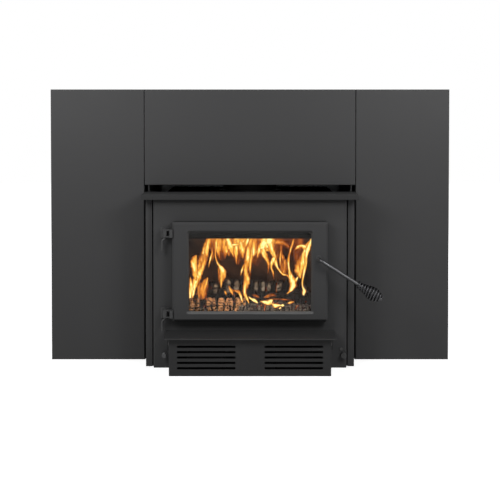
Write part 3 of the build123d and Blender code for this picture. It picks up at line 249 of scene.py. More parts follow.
def stove_paint(name, tone, roughness, peel, peel_size=900.0, specular=0.15):
    """Sprayed black paint: its tone and gloss drift over a hand's breadth, and its skin is pebbled."""
    material, tree = finish(name, (tone, tone, tone * 1.01), roughness, specular=specular)
    drift = noise(tree, 5.0, 4.0, 0.55)
    speck = noise(tree, peel_size, 2.0, 0.6)
    shade = calc(tree, "ADD", drift, speck)
    colour = ramp(tree, shade, [(0.30, tone * 0.88), (0.70, (tone * 1.12, tone * 1.12, tone * 1.14))])
    feed(tree, "Base Color", colour)
    feed(tree, "Roughness", span(tree, drift, roughness - 0.05, roughness + 0.05, 0.3, 0.7))
    bump(tree, speck, peel)
    return material


coat(stove_paint("surround_enamel", 0.0330, 0.50, 0.00010), "surround_left", "surround_right", "surround_top")

# ---- Casing's sides, ledge, flue collar, ash lip and hidden sheet ----
# Folded sheet, welded, and sprayed with matt high-temperature paint, which dries a little rougher than the
# surround's enamel. The ash lip's front edge is painted lighter as a highlight, and the sheet that nobody
# sees is painted near-black as shade where it shows through gaps and slots.
def blend(tree, mask, first, second):
    """The first colour where the mask is 0 and the second where it is 1."""
    mix = put(tree, "ShaderNodeMix", {"Factor": mask, "A": first, "B": second}, data_type="RGBA")
    return mix.outputs["Result"]


def tint(tree, mask, tone):
    """Turns the colour that a shader has so far into a plain grey tone where the mask is 1."""
    colour = tree.nodes["Principled BSDF"].inputs["Base Color"].links[0].from_socket
    feed(tree, "Base Color", blend(tree, mask, colour, rgba(tone)))


coat(stove_paint("body_paint", 0.0325, 0.58, 0.00014, 700.0), "casing_left", "casing_right")
coat(stove_paint("darker_paint", 0.0165, 0.55, 0.00014, 700.0), "top_ledge", "flue_collar")
LIP_EDGE_HIGHLIGHT = 0.038
lip_paint = stove_paint("lip_paint", 0.0150, 0.55, 0.00014, 700.0)
lip_tree = lip_paint.node_tree
lip_edge, lip_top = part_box("ash_lip")[0][1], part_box("ash_lip")[1][2]
# Painted highlight: the lip's front edge is lighter.
lip_front = span(lip_tree, axes(lip_tree)["Y"], 1.0, 0.0, lip_edge + 0.0006, lip_edge + 0.0016)
lip_foot = span(lip_tree, axes(lip_tree)["Z"], 1.0, 0.0, lip_top - 0.0016, lip_top - 0.0010)
tint(lip_tree, calc(lip_tree, "MULTIPLY", lip_front, lip_foot), LIP_EDGE_HIGHLIGHT)
coat(lip_paint, "ash_lip")
# Painted shade: the surround's channels, the fan scrolls and the motor saddle are near-black where they show
# through gaps and slots.
coat(stove_paint("shade_black", 0.005, 0.8, 0.00014, 700.0, 0.03), "surround_channels", "fan_scroll_left",
     "fan_scroll_right", "motor_saddle")

# ---- Front panel ----
# A folded sheet with the door's opening, fixed between the casing's strips and sprayed with them in matt
# high-temperature paint. Its colour is darker towards the ledge, as painted shade under the ledge.
PANEL_DARK, LEDGE_SHADE_SPAN = 0.015, (0.390, 0.475)
panel_paint = stove_paint("panel_paint", 0.0312, 0.58, 0.00014, 700.0)
panel_tree = panel_paint.node_tree
# Painted shade: the panel darkens towards the ledge above it.
tint(panel_tree, span(panel_tree, axes(panel_tree)["Z"], 0.0, 0.80, *LEDGE_SHADE_SPAN), PANEL_DARK)
coat(panel_paint, "front_panel")

# ---- Door frame ----
# One iron casting under matt black paint, so its skin shows the sand of the mould. The window's bevel is
# painted lighter as a highlight, most on the upward bevel at the window's foot, and the frame's outer edge is
# painted dark as shade.
WINDOW = {"X": (-0.165, 0.165), "Z": (0.1580, 0.3714)}
WINDOW_BEVEL = 0.006
BEVEL_HIGHLIGHT, FOOT_BEVEL_HIGHLIGHT, RIM_SHADE = 0.048, 0.080, 0.006
door_paint = stove_paint("door_paint", 0.0302, 0.56, 0.00028, 420.0)
door_tree = door_paint.node_tree
door_low, door_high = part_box("door_frame")
# Painted highlight: the window's bevel is lighter, and lightest on the upward bevel at its foot.
bevel_lit = span(door_tree, past_box(door_tree, **WINDOW), 1.0, 0.0, WINDOW_BEVEL - 0.0008,
             WINDOW_BEVEL + 0.0004)
window_foot = WINDOW["Z"][0]
door_foot = span(door_tree, axes(door_tree)["Z"], 1.0, 0.0, window_foot - 0.0005, window_foot + 0.0005)
foot_bevel_lit = calc(door_tree, "MULTIPLY", bevel_lit, door_foot)
door_past = past_box(door_tree, X=(door_low[0], door_high[0]), Z=(door_low[2], door_high[2]))
# Painted shade: a dark band along the frame's outer edge.
rim_shaded = span(door_tree, door_past, 0.0, 1.0, -0.0018, -0.0008)
for mask, tone in ((bevel_lit, BEVEL_HIGHLIGHT), (foot_bevel_lit, FOOT_BEVEL_HIGHLIGHT), (rim_shaded, RIM_SHADE)):
    tint(door_tree, mask, tone)
coat(door_paint, "door_frame")

# ---- Hinges and handle bushing ----
# Brackets and lugs cut from steel bar and bored, pins bent from round bar, and a turned bushing, all
# dipped in thin black paint. The bracket stands on the front panel and the lug on the door.
coat(stove_paint("hinge_paint", 0.026, 0.45, 0.00008, 1200.0, 0.3), "hinge_bracket_upper",
     "hinge_bracket_lower", "door_lug_upper", "door_lug_lower", "hinge_pin_upper", "hinge_pin_lower",
     "handle_bushing")

# ---- Zinc-coated sheet ----
# The parts nobody sees in use are folded from bare galvanised sheet, whose zinc froze in broad dull crystals.
# The casing's inside is painted near-black as shade.
def galvanised(name):
    """Dull zinc: cells of slightly different grey and gloss, with rolled streaks across them."""
    material, tree = finish(name, (0.30, 0.31, 0.32), 0.45, metallic=0.85)
    crystals = put(tree, "ShaderNodeTexVoronoi", {"Vector": place_on(tree), "Scale": 70.0,
                                                  "Randomness": 1.0})
    grey = put(tree, "ShaderNodeRGBToBW", {"Color": crystals.outputs["Color"]}).outputs[0]
    streak = noise(tree, 160.0, 3.0, stretch=(1.0, 1.0, 0.06))
    mixed = calc(tree, "MULTIPLY_ADD", grey, 0.35, streak)
    feed(tree, "Base Color", ramp(tree, mixed, [(0.45, (0.25, 0.26, 0.27)), (0.95, (0.35, 0.36, 0.37))]))
    feed(tree, "Roughness", span(tree, grey, 0.40, 0.50))
    bump(tree, streak, 0.00006)
    return material


def shade_inside(material, low, high, tone):
    """Paints shade on the faces that lie inside a box: there the colour and the metal's share give way to
    near-black, as painted shade."""
    tree = material.node_tree
    reach = past_box(tree, **dict(zip("XYZ", zip(low, high))))
    inside = span(tree, reach, 1.0, 0.0, -0.0001, 0.0001)
    tint(tree, inside, tone)
    metal = tree.nodes["Principled BSDF"].inputs["Metallic"].default_value
    feed(tree, "Metallic", span(tree, inside, metal, 0.0))


zinc_sheet = galvanised("zinc_sheet")
SHEET_HALF = 0.0007
case_left, case_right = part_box("casing_left")[0][0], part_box("casing_right")[1][0]
_, top_rear, top_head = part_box("casing_top")[1]
# Painted shade: inside the casing the zinc turns near-black.
shade_inside(zinc_sheet, (case_left + SHEET_HALF, -1.0, SHEET_HALF),
               (case_right - SHEET_HALF, top_rear - SHEET_HALF, top_head - SHEET_HALF), 0.008)
coat(zinc_sheet, "casing_top", "casing_base", "damper_rails", "air_damper", "glass_retainer")

# ---- Blower box ----
# Folded sheet, screwed to the front panel through a tab on each side, in the same dark paint as the ledge;
# its inside is painted near-black as shade, where it shows through the slots.
BLOWER_SIDE = 0.2138
blower_paint = stove_paint("blower_paint", 0.0165, 0.55, 0.00014, 700.0)
blower_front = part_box("blower_box")[0][1]
_, blower_rear, blower_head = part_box("blower_box")[1]
# Painted shade: the box's inside faces are near-black.
shade_inside(blower_paint, (SHEET_HALF - BLOWER_SIDE, blower_front + SHEET_HALF, SHEET_HALF),
               (BLOWER_SIDE - SHEET_HALF, blower_rear + 0.01 - SHEET_HALF, blower_head - SHEET_HALF), 0.003)
coat(blower_paint, "blower_box")

# ---- Firebox plate and latch strike ----
# The firebox is welded from 5 mm plate, and the strike is a small block of the same steel. Heat has
# browned both, and smoke has blackened them in clouds.
plate_steel, plate_tree = finish("smoked_plate", (0.05, 0.044, 0.04), 0.8, specular=0.05)
plate_soot = noise(plate_tree, 14.0, 6.0, 0.6)
plate_colour = ramp(plate_tree, plate_soot, [(0.35, 0.004), (0.55, (0.010, 0.009, 0.008)),
                                             (0.75, (0.022, 0.017, 0.013))])
feed(plate_tree, "Base Color", plate_colour)
bump(plate_tree, plate_soot, 0.0006)
coat(plate_steel, "firebox_shell", "latch_strike")

# ---- Firebricks ----
# Pressed and fired clay bricks, buff where clean and full of sandy grit, stand loose around the fire,
# which covers them with soot in clouds.
brick_clay, brick_tree = finish("sooty_firebrick", (0.40, 0.31, 0.22), 0.9, specular=0.2)
brick_grit = noise(brick_tree, 260.0, 5.0, 0.7)
brick_cloud = noise(brick_tree, 9.0, 6.0, 0.62, 0.6)
brick_clean = ramp(brick_tree, brick_grit, [(0.3, (0.14, 0.085, 0.055)), (0.7, (0.26, 0.17, 0.115))])
brick_black = ramp(brick_tree, brick_grit, [(0.3, (0.010, 0.008, 0.008)), (0.7, (0.035, 0.024, 0.021))])
brick_sooted = span(brick_tree, brick_cloud, 0.15, 0.95, 0.35, 0.6)
feed(brick_tree, "Base Color", blend(brick_tree, brick_sooted, brick_clean, brick_black))
bump(brick_tree, brick_grit, 0.0008)
coat(brick_clay, "bricks_floor", "bricks_left", "bricks_right", "bricks_back")

# ---- Baffle boards ----
# Two pressed mineral-fibre boards, off-white and fibrous, lie loose on the air tubes, and the smoke
# has stained them in clouds.
board, board_tree = finish("fibre_board", (0.45, 0.42, 0.36), 0.95, specular=0.15)
board_fibre = noise(board_tree, 420.0, 5.0, 0.7, stretch=(1.0, 0.25, 1.0))
board_smoke = noise(board_tree, 12.0, 5.0, 0.6)
board_tone = calc(board_tree, "MULTIPLY", board_fibre, board_smoke)
feed(board_tree, "Base Color", ramp(board_tree, board_tone,
                                    [(0.12, (0.10, 0.085, 0.07)), (0.40, (0.46, 0.42, 0.35))]))
bump(board_tree, board_fibre, 0.0006)
coat(board, "baffle_boards")

# ---- Secondary-air tubes and their side channels ----
# Drawn stainless tube, drilled in rows and held at its ends by channels of the same steel, all
# coloured straw, bronze and blue by the heat of the smoke.
tube_steel, tube_tree = finish("heat_tinted_stainless", (0.40, 0.34, 0.28), 0.38, metallic=1.0)
tube_tint = noise(tube_tree, 11.0, 4.0, 0.55, 0.8)
feed(tube_tree, "Base Color", ramp(tube_tree, tube_tint,
                                   [(0.30, (0.20, 0.19, 0.21)), (0.45, (0.30, 0.22, 0.17)),
                                    (0.58, (0.42, 0.33, 0.22)), (0.72, (0.24, 0.22, 0.22))]))
tube_drawn = noise(tube_tree, 900.0, 2.0, stretch=(0.04, 1.0, 1.0))
feed(tube_tree, "Roughness", span(tube_tree, tube_drawn, 0.30, 0.50))
bump(tube_tree, tube_drawn, 0.00005)
coat(tube_steel, "air_manifold_left", "air_manifold_right", "air_tube_1", "air_tube_2", "air_tube_3")

# ---- Door glass ----
# A 5 mm pane of clear glass ceramic with a faint amber cast and a breath of white ash film, held in
# the door by a screwed retainer. Lamps shine straight through it.
GLASS_INDEX = 1.2
pane, pane_tree = finish("glass_ceramic", (0.97, 0.96, 0.94), 0.0, Transmission_Weight=1.0, IOR=GLASS_INDEX)
pane_smear = noise(pane_tree, 16.0, 4.0, 0.6, 0.5, stretch=(1.0, 1.0, 0.35))
feed(pane_tree, "Base Color", ramp(pane_tree, pane_smear,
                                   [(0.3, (0.98, 0.975, 0.96)), (0.8, (0.93, 0.92, 0.90))]))
pane_path = put(pane_tree, "ShaderNodeLightPath")
pane_clear = put(pane_tree, "ShaderNodeBsdfTransparent", {"Color": rgba((0.95, 0.94, 0.92))})
pane_mix = put(pane_tree, "ShaderNodeMixShader", {0: pane_path.outputs["Is Shadow Ray"],
                                                  1: pane_tree.nodes["Principled BSDF"].outputs[0],
                                                  2: pane_clear.outputs[0]})
pane_tree.links.new(pane_mix.outputs[0], pane_tree.nodes["Material Output"].inputs["Surface"])
coat(pane, "door_glass")

# ---- Glass tape ----
# Woven glass-fibre tape, greyed with graphite, is glued around the pane and pressed by the retainer
# against the frame.
tape, tape_tree = finish("glass_fibre_tape", 0.10, 0.9, specular=0.2)
tape_weave = put(tape_tree, "ShaderNodeTexChecker", {"Vector": place_on(tape_tree), "Scale": 900.0,
                                                     "Color1": rgba(0.13), "Color2": rgba(0.07)})
feed(tape_tree, "Base Color", tape_weave.outputs["Color"])
bump(tape_tree, tape_weave.outputs["Fac"], 0.0002)
coat(tape, "glass_gasket")

# ---- Handle rod and air-control rod ----
# Bright-drawn round bar, bent for the handle and straight for the air control, and plated in black
# nickel, which keeps fine draw marks along the bar.
def plated(name, colour, roughness, streak_scale, turn=(0.0, 0.0, 0.0)):
    """Plated metal: fine streaks along one direction vary its gloss and tone."""
    material, tree = finish(name, colour, roughness, metallic=1.0)
    streak = noise(tree, streak_scale, 3.0, stretch=(0.05, 1.0, 1.0), turn=turn)
    blush = noise(tree, 30.0, 4.0, 0.6)
    shade = calc(tree, "ADD", streak, blush)
    dark, light = tuple(c * 0.82 for c in colour), tuple(min(c * 1.18, 1.0) for c in colour)
    feed(tree, "Base Color", ramp(tree, shade, [(0.35, dark), (0.65, light)]))
    feed(tree, "Roughness", span(tree, blush, roughness - 0.06, roughness + 0.08, 0.3, 0.7))
    bump(tree, streak, 0.00002)
    return material


BAR_SLOPE = math.radians(32.6)
coat(plated("black_nickel", (0.050, 0.050, 0.052), 0.30, 700.0, turn=(0.0, -BAR_SLOPE, 0.0)), "handle_rod",
     "air_rod")

# ---- Coil grip ----
# Spring wire wound into a swelling coil, which stays cool, blacked with a glossy coat and pushed
# over the handle's rod.
coat(plated("blacked_spring_wire", (0.036, 0.036, 0.038), 0.28, 500.0), "handle_coil")

# ---- Fasteners and latch parts ----
# Pressed and turned steel, zinc-plated with a faint yellow cast inside the door, and blacked with
# oxide where the screws and bolts would catch the eye.
coat(plated("zinc_plate", (0.27, 0.27, 0.26), 0.42, 600.0), "glass_screws", "latch_nut", "latch_spacer",
     "latch_cam")
coat(plated("black_oxide", (0.045, 0.045, 0.045), 0.40, 600.0), "panel_screws", "surround_bolts")

# ---- Air-control knob ----
# Turned steel, plated in dark satin nickel over the lathe's fine marks, and screwed on to the air
# control's rod.
coat(plated("dark_nickel", (0.054, 0.054, 0.055), 0.42, 900.0), "air_knob")

# ---- Speed control, its knob and the cord's grommet ----
# A control of moulded black plastic with a fine texture, its knob pushed on to its shaft, and a ring
# of soft black rubber sprung into the hole for the cord.
def moulded(name, tone, roughness, texture, scale):
    """Moulded black plastic or rubber: one dull tone with a fine even texture from the mould."""
    material, tree = finish(name, tone, roughness, specular=0.4)
    grain = noise(tree, scale, 3.0, 0.6)
    feed(tree, "Base Color", ramp(tree, grain, [(0.3, tone * 0.8), (0.7, tone * 1.25)]))
    feed(tree, "Roughness", span(tree, grain, roughness - 0.06, roughness + 0.06))
    bump(tree, grain, texture)
    return material


coat(moulded("control_plastic", 0.014, 0.55, 0.00008, 1500.0), "speed_knob", "speed_control")
coat(moulded("grommet_rubber", 0.022, 0.7, 0.00012, 900.0), "cord_grommet")

# ---- Blower motor and wheels ----
# A closed motor in dark grey enamel between two wheels rolled from thin aluminium, which are painted
# near-black with their shaft as shade, where they show through the blower's slots.
coat(stove_paint("motor_enamel", 0.09, 0.45, 0.00012, 600.0, 0.5), "motor_housing")
# Painted shade: the wheels and shaft are near-black.
coat(stove_paint("wheel_shade_black", 0.008, 0.75, 0.00010, 900.0, 0.04), "fan_wheel_left",
     "fan_wheel_right", "rotor_shaft")

# ---- Logs on the fire ----
# Two split hardwood billets lie along the front, the left one barked and brown and the right one
# thin and grey with ash, and three burnt through to charcoal lie behind them. Burning has checked
# them across the grain into rows of lumps, and the checks between the lumps glow.
RING_STEP = 0.0011
FULL_TURN = 6.28


def around(sides):
    """The angles of the points of a ring."""
    return np.linspace(0.0, 2 * math.pi, sides, endpoint=False)[None, :]


def lattice(rows, columns, rows_closed=False, columns_closed=True):
    """Quads over a grid of points, row by row; a closed way joins its last line to its first."""
    row, column = np.meshgrid(np.arange(rows if rows_closed else rows - 1),
                              np.arange(columns if columns_closed else columns - 1), indexing="ij")
    ahead, after = (row + 1) % rows, (column + 1) % columns
    return np.stack([row * columns + column, row * columns + after, ahead * columns + after,
                     ahead * columns + column], axis=-1).reshape(-1, 4)


def skin(rings):
    """Points and faces of a closed skin over rings of points: quads join each ring to the next, and
    a fan of triangles joins each end ring to its own middle."""
    count, sides = rings.shape[:2]
    points = np.concatenate([rings.reshape(-1, 3), rings[:1].mean(axis=1), rings[-1:].mean(axis=1)])
    step = np.arange(sides)
    after, last = (step + 1) % sides, (count - 1) * sides
    near_pole, far_pole = np.full(sides, count * sides), np.full(sides, count * sides + 1)
    fans = np.concatenate([np.stack([near_pole, after, step], axis=-1),
                           np.stack([far_pole, last + step, last + after], axis=-1)])
    return points, lattice(count, sides), fans


def add_piece(name, parts, material, body, **traits):
    """One object from several skins, smooth-shaded, that rides on a body; a trait is a value per point."""
    mesh = bpy.data.meshes.new(name)
    points, faces, offset = [], [], 0
    for part_points, quads, fans in parts:
        points.append(part_points)
        faces += (quads + offset).tolist() + (fans + offset).tolist()
        offset += len(part_points)
    mesh.from_pydata(np.concatenate(points).tolist(), [], faces)
    mesh.polygons.foreach_set("use_smooth", np.ones(len(mesh.polygons), dtype=bool))
    for trait, values in traits.items():
        layer = mesh.attributes.new(trait, "FLOAT", "POINT")
        layer.data.foreach_set("value", np.concatenate(values).astype(np.float32))
    mesh.materials.append(material)
    piece = bpy.data.objects.new(name, mesh)
    scene.collection.objects.link(piece)
    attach(piece, body)
    return piece


def billet(start, end, girth, check_gap, check_depth, seed, check_width=(0.0012, 0.0034), dome=0.12):
    """A burnt log from start to end: a circle of the girth, waved by six cosines that run around and
    along it, cut by bell-shaped checks across it at uneven gaps, wider at the log's top, and by three
    along it, with domed ends that are dome times the girth high. Returns its skin and how deep in a
    check each point lies."""
    rng = np.random.default_rng(seed)
    start, end = np.array(start), np.array(end)
    length = np.linalg.norm(end - start)
    axis = (end - start) / length
    across = np.cross(axis, (0.0, 0.0, 1.0))
    across /= np.linalg.norm(across)
    upward = np.cross(axis, across)
    steps, sides, round_over = int(length / RING_STEP), 72, 8
    shrink = np.sin(np.linspace(0.06, math.pi / 2, round_over))
    swell = np.concatenate([shrink, np.ones(steps), shrink[::-1]])[:, None]
    reach = np.concatenate([-dome * girth * np.cos(np.arcsin(shrink)) / length,
                            np.linspace(0.0, 1.0, steps),
                            1.0 + dome * girth * np.cos(np.arcsin(shrink[::-1])) / length])
    turn = around(sides)
    along = reach[:, None] * length
    waves = [(rng.integers(1, 6), rng.uniform(8, 70), rng.uniform(0, FULL_TURN), rng.uniform(0.012, 0.035))
             for _ in range(6)]
    radius = 1 + sum(size * np.cos(lobes * turn + pitch * along + phase)
                     for lobes, pitch, phase, size in waves)
    bark = sum(0.010 * np.cos(lobes * turn + rng.uniform(40, 160) * along + rng.uniform(0, FULL_TURN))
               for lobes in (9, 13, 17, 23))
    places = np.arange(rng.uniform(0.2, 0.8) * check_gap, length, check_gap)
    places = (places + rng.uniform(-0.3, 0.3, len(places)) * check_gap)[None, None, :]
    count = places.shape[-1]
    wander = rng.uniform(0.0008, 0.003, count) * np.cos(turn[..., None] * rng.integers(1, 4, count)
                                                        + rng.uniform(0, FULL_TURN, count))
    wide = rng.uniform(*check_width, count) * (0.85 - 0.4 * np.sin(turn[..., None]))
    gate = np.clip(0.85 + 0.5 * np.cos(turn[..., None] + rng.uniform(0, FULL_TURN, count)), 0.0, 1.0)
    cuts = gate * np.exp(-((along[..., None] - places - wander) / wide) ** 2) * rng.uniform(0.5, 1.0, count)
    aside = [np.angle(np.exp(1j * (turn - rng.uniform(0, FULL_TURN) - 0.3 * np.cos(along * 30))))
             for _ in range(3)]
    grooves = sum(0.5 * np.exp(-(np.abs(angle) / 0.055) ** 2) for angle in aside)
    deep = np.clip(cuts.max(axis=-1) + grooves * (swell > 0.99), 0.0, 1.0)
    radius = girth * swell * (radius + bark - check_depth * deep)
    rings = start + along[..., None] * axis + radius[..., None] * (np.cos(turn)[..., None] * across
                                                                   + np.sin(turn)[..., None] * upward)
    return skin(rings), np.append(deep.ravel(), [0.3, 0.3])


def burnt_wood(name, dark, light, ash, ashen, glow, grain_size=230.0, contrast=0.17):
    """Burnt wood: bark or char mottled from dark to light, ash where a coarse noise is high, black in
    the checks, and embers glowing at the bottom of some of them."""
    material, tree = finish(name, light, 0.92, specular=0.15, Emission_Strength=glow)
    grain = noise(tree, grain_size, 5.0, 0.65, 0.4, stretch=(0.35, 1.0, 1.0))
    cloud = noise(tree, 42.0, 5.0, 0.6, 0.5)
    deep = put(tree, "ShaderNodeAttribute", attribute_name="deep").outputs["Fac"]
    wood = ramp(tree, grain, [(0.49 - contrast, dark), (0.49 + contrast, light)])
    dusted = blend(tree, span(tree, cloud, 0.0, 1.0, 1.0 - ashen, 1.05 - ashen), wood,
                   ramp(tree, grain, [(0.3, tuple(c * 0.7 for c in ash)), (0.7, ash)]))
    cracked = blend(tree, span(tree, deep, 0.0, 1.0, 0.08, 0.45), dusted, rgba((0.008, 0.006, 0.005)))
    feed(tree, "Base Color", cracked)
    spots = span(tree, noise(tree, 33.0, 3.0), 0.0, 1.0, 0.52, 0.62)
    core = span(tree, deep, 0.0, 1.0, 0.55, 0.95)
    ember = ramp(tree, calc(tree, "MULTIPLY", spots, core),
                 [(0.0, 0.0), (0.35, (0.35, 0.03, 0.004)), (0.75, (1.0, 0.22, 0.03)),
                  (1.0, (1.0, 0.55, 0.14))])
    feed(tree, "Emission Color", ember)
    bump(tree, grain, 0.0016)
    return material


front_billet = billet((-0.196, -0.030, 0.1585), (-0.014, -0.032, 0.1580), girth=0.0225,
                      check_gap=0.0160, check_depth=0.60, seed=3, check_width=(0.0034, 0.0056))
brown_bark = burnt_wood("brown_bark", (0.014, 0.006, 0.003), (0.50, 0.235, 0.090), (0.42, 0.24, 0.11),
                        ashen=0.16, glow=0.3, contrast=0.035)
add_piece("log_front_left", [front_billet[0]], brown_bark, "insert", deep=[front_billet[1]])
thin_billet = billet((-0.030, -0.045, 0.1505), (0.160, -0.047, 0.1515), girth=0.0138, check_gap=0.0095,
                     check_depth=0.30, seed=8)
grey_bark = burnt_wood("grey_bark", (0.030, 0.022, 0.017), (0.14, 0.105, 0.08), (0.22, 0.18, 0.15),
                       ashen=0.38, glow=0.4, grain_size=150.0, contrast=0.08)
add_piece("log_front_right", [thin_billet[0]], grey_bark, "insert", deep=[thin_billet[1]])
charred = [billet(start, end, girth, check_gap, check_depth, seed)
           for start, end, girth, check_gap, check_depth, seed in (
               ((-0.120, 0.034, 0.1670), (0.010, 0.040, 0.1660), 0.0290, 0.0180, 0.30, 12),
               ((0.020, 0.030, 0.1620), (0.172, 0.024, 0.1620), 0.0245, 0.0150, 0.30, 21),
               ((-0.118, 0.118, 0.1790), (0.150, 0.098, 0.1790), 0.0300, 0.0175, 0.50, 34))]
charcoal = burnt_wood("charcoal", 0.002, (0.010, 0.008, 0.007), (0.09, 0.075, 0.058),
                      ashen=0.26, glow=0.3)
add_piece("logs_charred", [log for log, _ in charred], charcoal, "insert", deep=[deep for _, deep in charred])

# Lumps of spent charcoal, furred with pale ash, stand along the front of the logs behind.
# A lump is (across, half-width, foot, top), in mm, after lumps in the photograph.
LUMPS = ((16.9, 5.6, 197.0, 219.5), (36.6, 5.2, 196.0, 219.5), (53.0, 4.9, 196.0, 215.5),
         (81.7, 7.6, 196.0, 220.0), (-61.3, 5.6, 192.0, 224.5), (-38.1, 7.4, 197.0, 222.0),
         (-98.0, 5.0, 190.0, 213.0))
LUMP_FRONT, LUMP_REAR = -0.001, 0.006
lumps_ashen = [billet((x / 1000, LUMP_FRONT, (foot + half) / 1000),
                      (x / 1000 + 0.001, LUMP_REAR, (top - half * 1.5) / 1000), girth=half / 1000,
                      check_gap=0.012, check_depth=0.30, seed=60 + number, dome=1.6)
               for number, (x, half, foot, top) in enumerate(LUMPS)]
furred_ash = burnt_wood("furred_ash", (0.012, 0.010, 0.008), (0.21, 0.17, 0.12), (0.25, 0.21, 0.15),
                        ashen=0.34, glow=0.2, grain_size=170.0, contrast=0.10)
add_piece("ashen_lumps", [lump for lump, _ in lumps_ashen], furred_ash, "insert",
          deep=[deep for _, deep in lumps_ashen])

# ---- Bed of embers ----
# Broken charcoal and ash cover the firebricks between the logs, heaped higher to the rear, and
# glow wherever the lumps touch.
FLOOR_TOP = 0.1368
BED_LEFT, BED_RIGHT, BED_FRONT, BED_REAR = -0.190, 0.190, -0.060, 0.285
BED_ROWS, BED_COLUMNS, BED_LUMPS = 190, 172, 520
LUMP_SIZE, SEAM_WIDTH, BED_EDGE = 0.014, 0.0045, 0.02
NO_FANS = np.zeros((0, 3), dtype=int)


def thicken(piece, name, thickness):
    """Gives a skin of no thickness the sheet's own, behind its face."""
    wall = piece.modifiers.new(name, "SOLIDIFY")
    wall.thickness = thickness
    wall.offset = -1.0


bed_rng = np.random.default_rng(5)
bed_x, bed_y = np.meshgrid(np.linspace(BED_LEFT, BED_RIGHT, BED_ROWS),
                           np.linspace(BED_FRONT, BED_REAR, BED_COLUMNS), indexing="ij")
lumps = bed_rng.uniform((BED_LEFT, BED_FRONT), (BED_RIGHT, BED_REAR), (BED_LUMPS, 2))
gaps = np.sort(np.hypot(bed_x[..., None] - lumps[:, 0], bed_y[..., None] - lumps[:, 1]), axis=-1)[..., :2]
seam = np.clip(1.0 - (gaps[..., 1] - gaps[..., 0]) / SEAM_WIDTH, 0.0, 1.0)
inset = np.minimum.reduce([bed_x - BED_LEFT, BED_RIGHT - bed_x, bed_y - BED_FRONT, BED_REAR - bed_y])
inset = np.clip(inset / BED_EDGE, 0.0, 1.0)
waves = 1.0 + 0.5 * np.sin(bed_x * 23.0) * np.cos(bed_y * 19.0)
heap = 0.006 + 0.012 * inset * waves + 0.06 * np.clip(bed_y, 0, 1)
lump_rise = 0.006 * inset * (1.0 - (gaps[..., 0] / LUMP_SIZE) ** 2)
bed_z = np.maximum(FLOOR_TOP + inset * heap + lump_rise - 0.004 * inset * seam, FLOOR_TOP + 0.0015)
bed_points = np.stack([bed_x, bed_y, bed_z], axis=-1).reshape(-1, 3)
bed_faces = lattice(BED_ROWS, BED_COLUMNS, columns_closed=False)[:, [0, 3, 2, 1]]
embers = burnt_wood("embers", (0.015, 0.012, 0.010), (0.09, 0.075, 0.06), (0.34, 0.31, 0.27),
                    ashen=0.40, glow=1.0)
ember_bed = add_piece("ember_bed", [(bed_points, bed_faces, NO_FANS)], embers, "insert", deep=[seam.ravel()])
thicken(ember_bed, "crust", 0.0012)

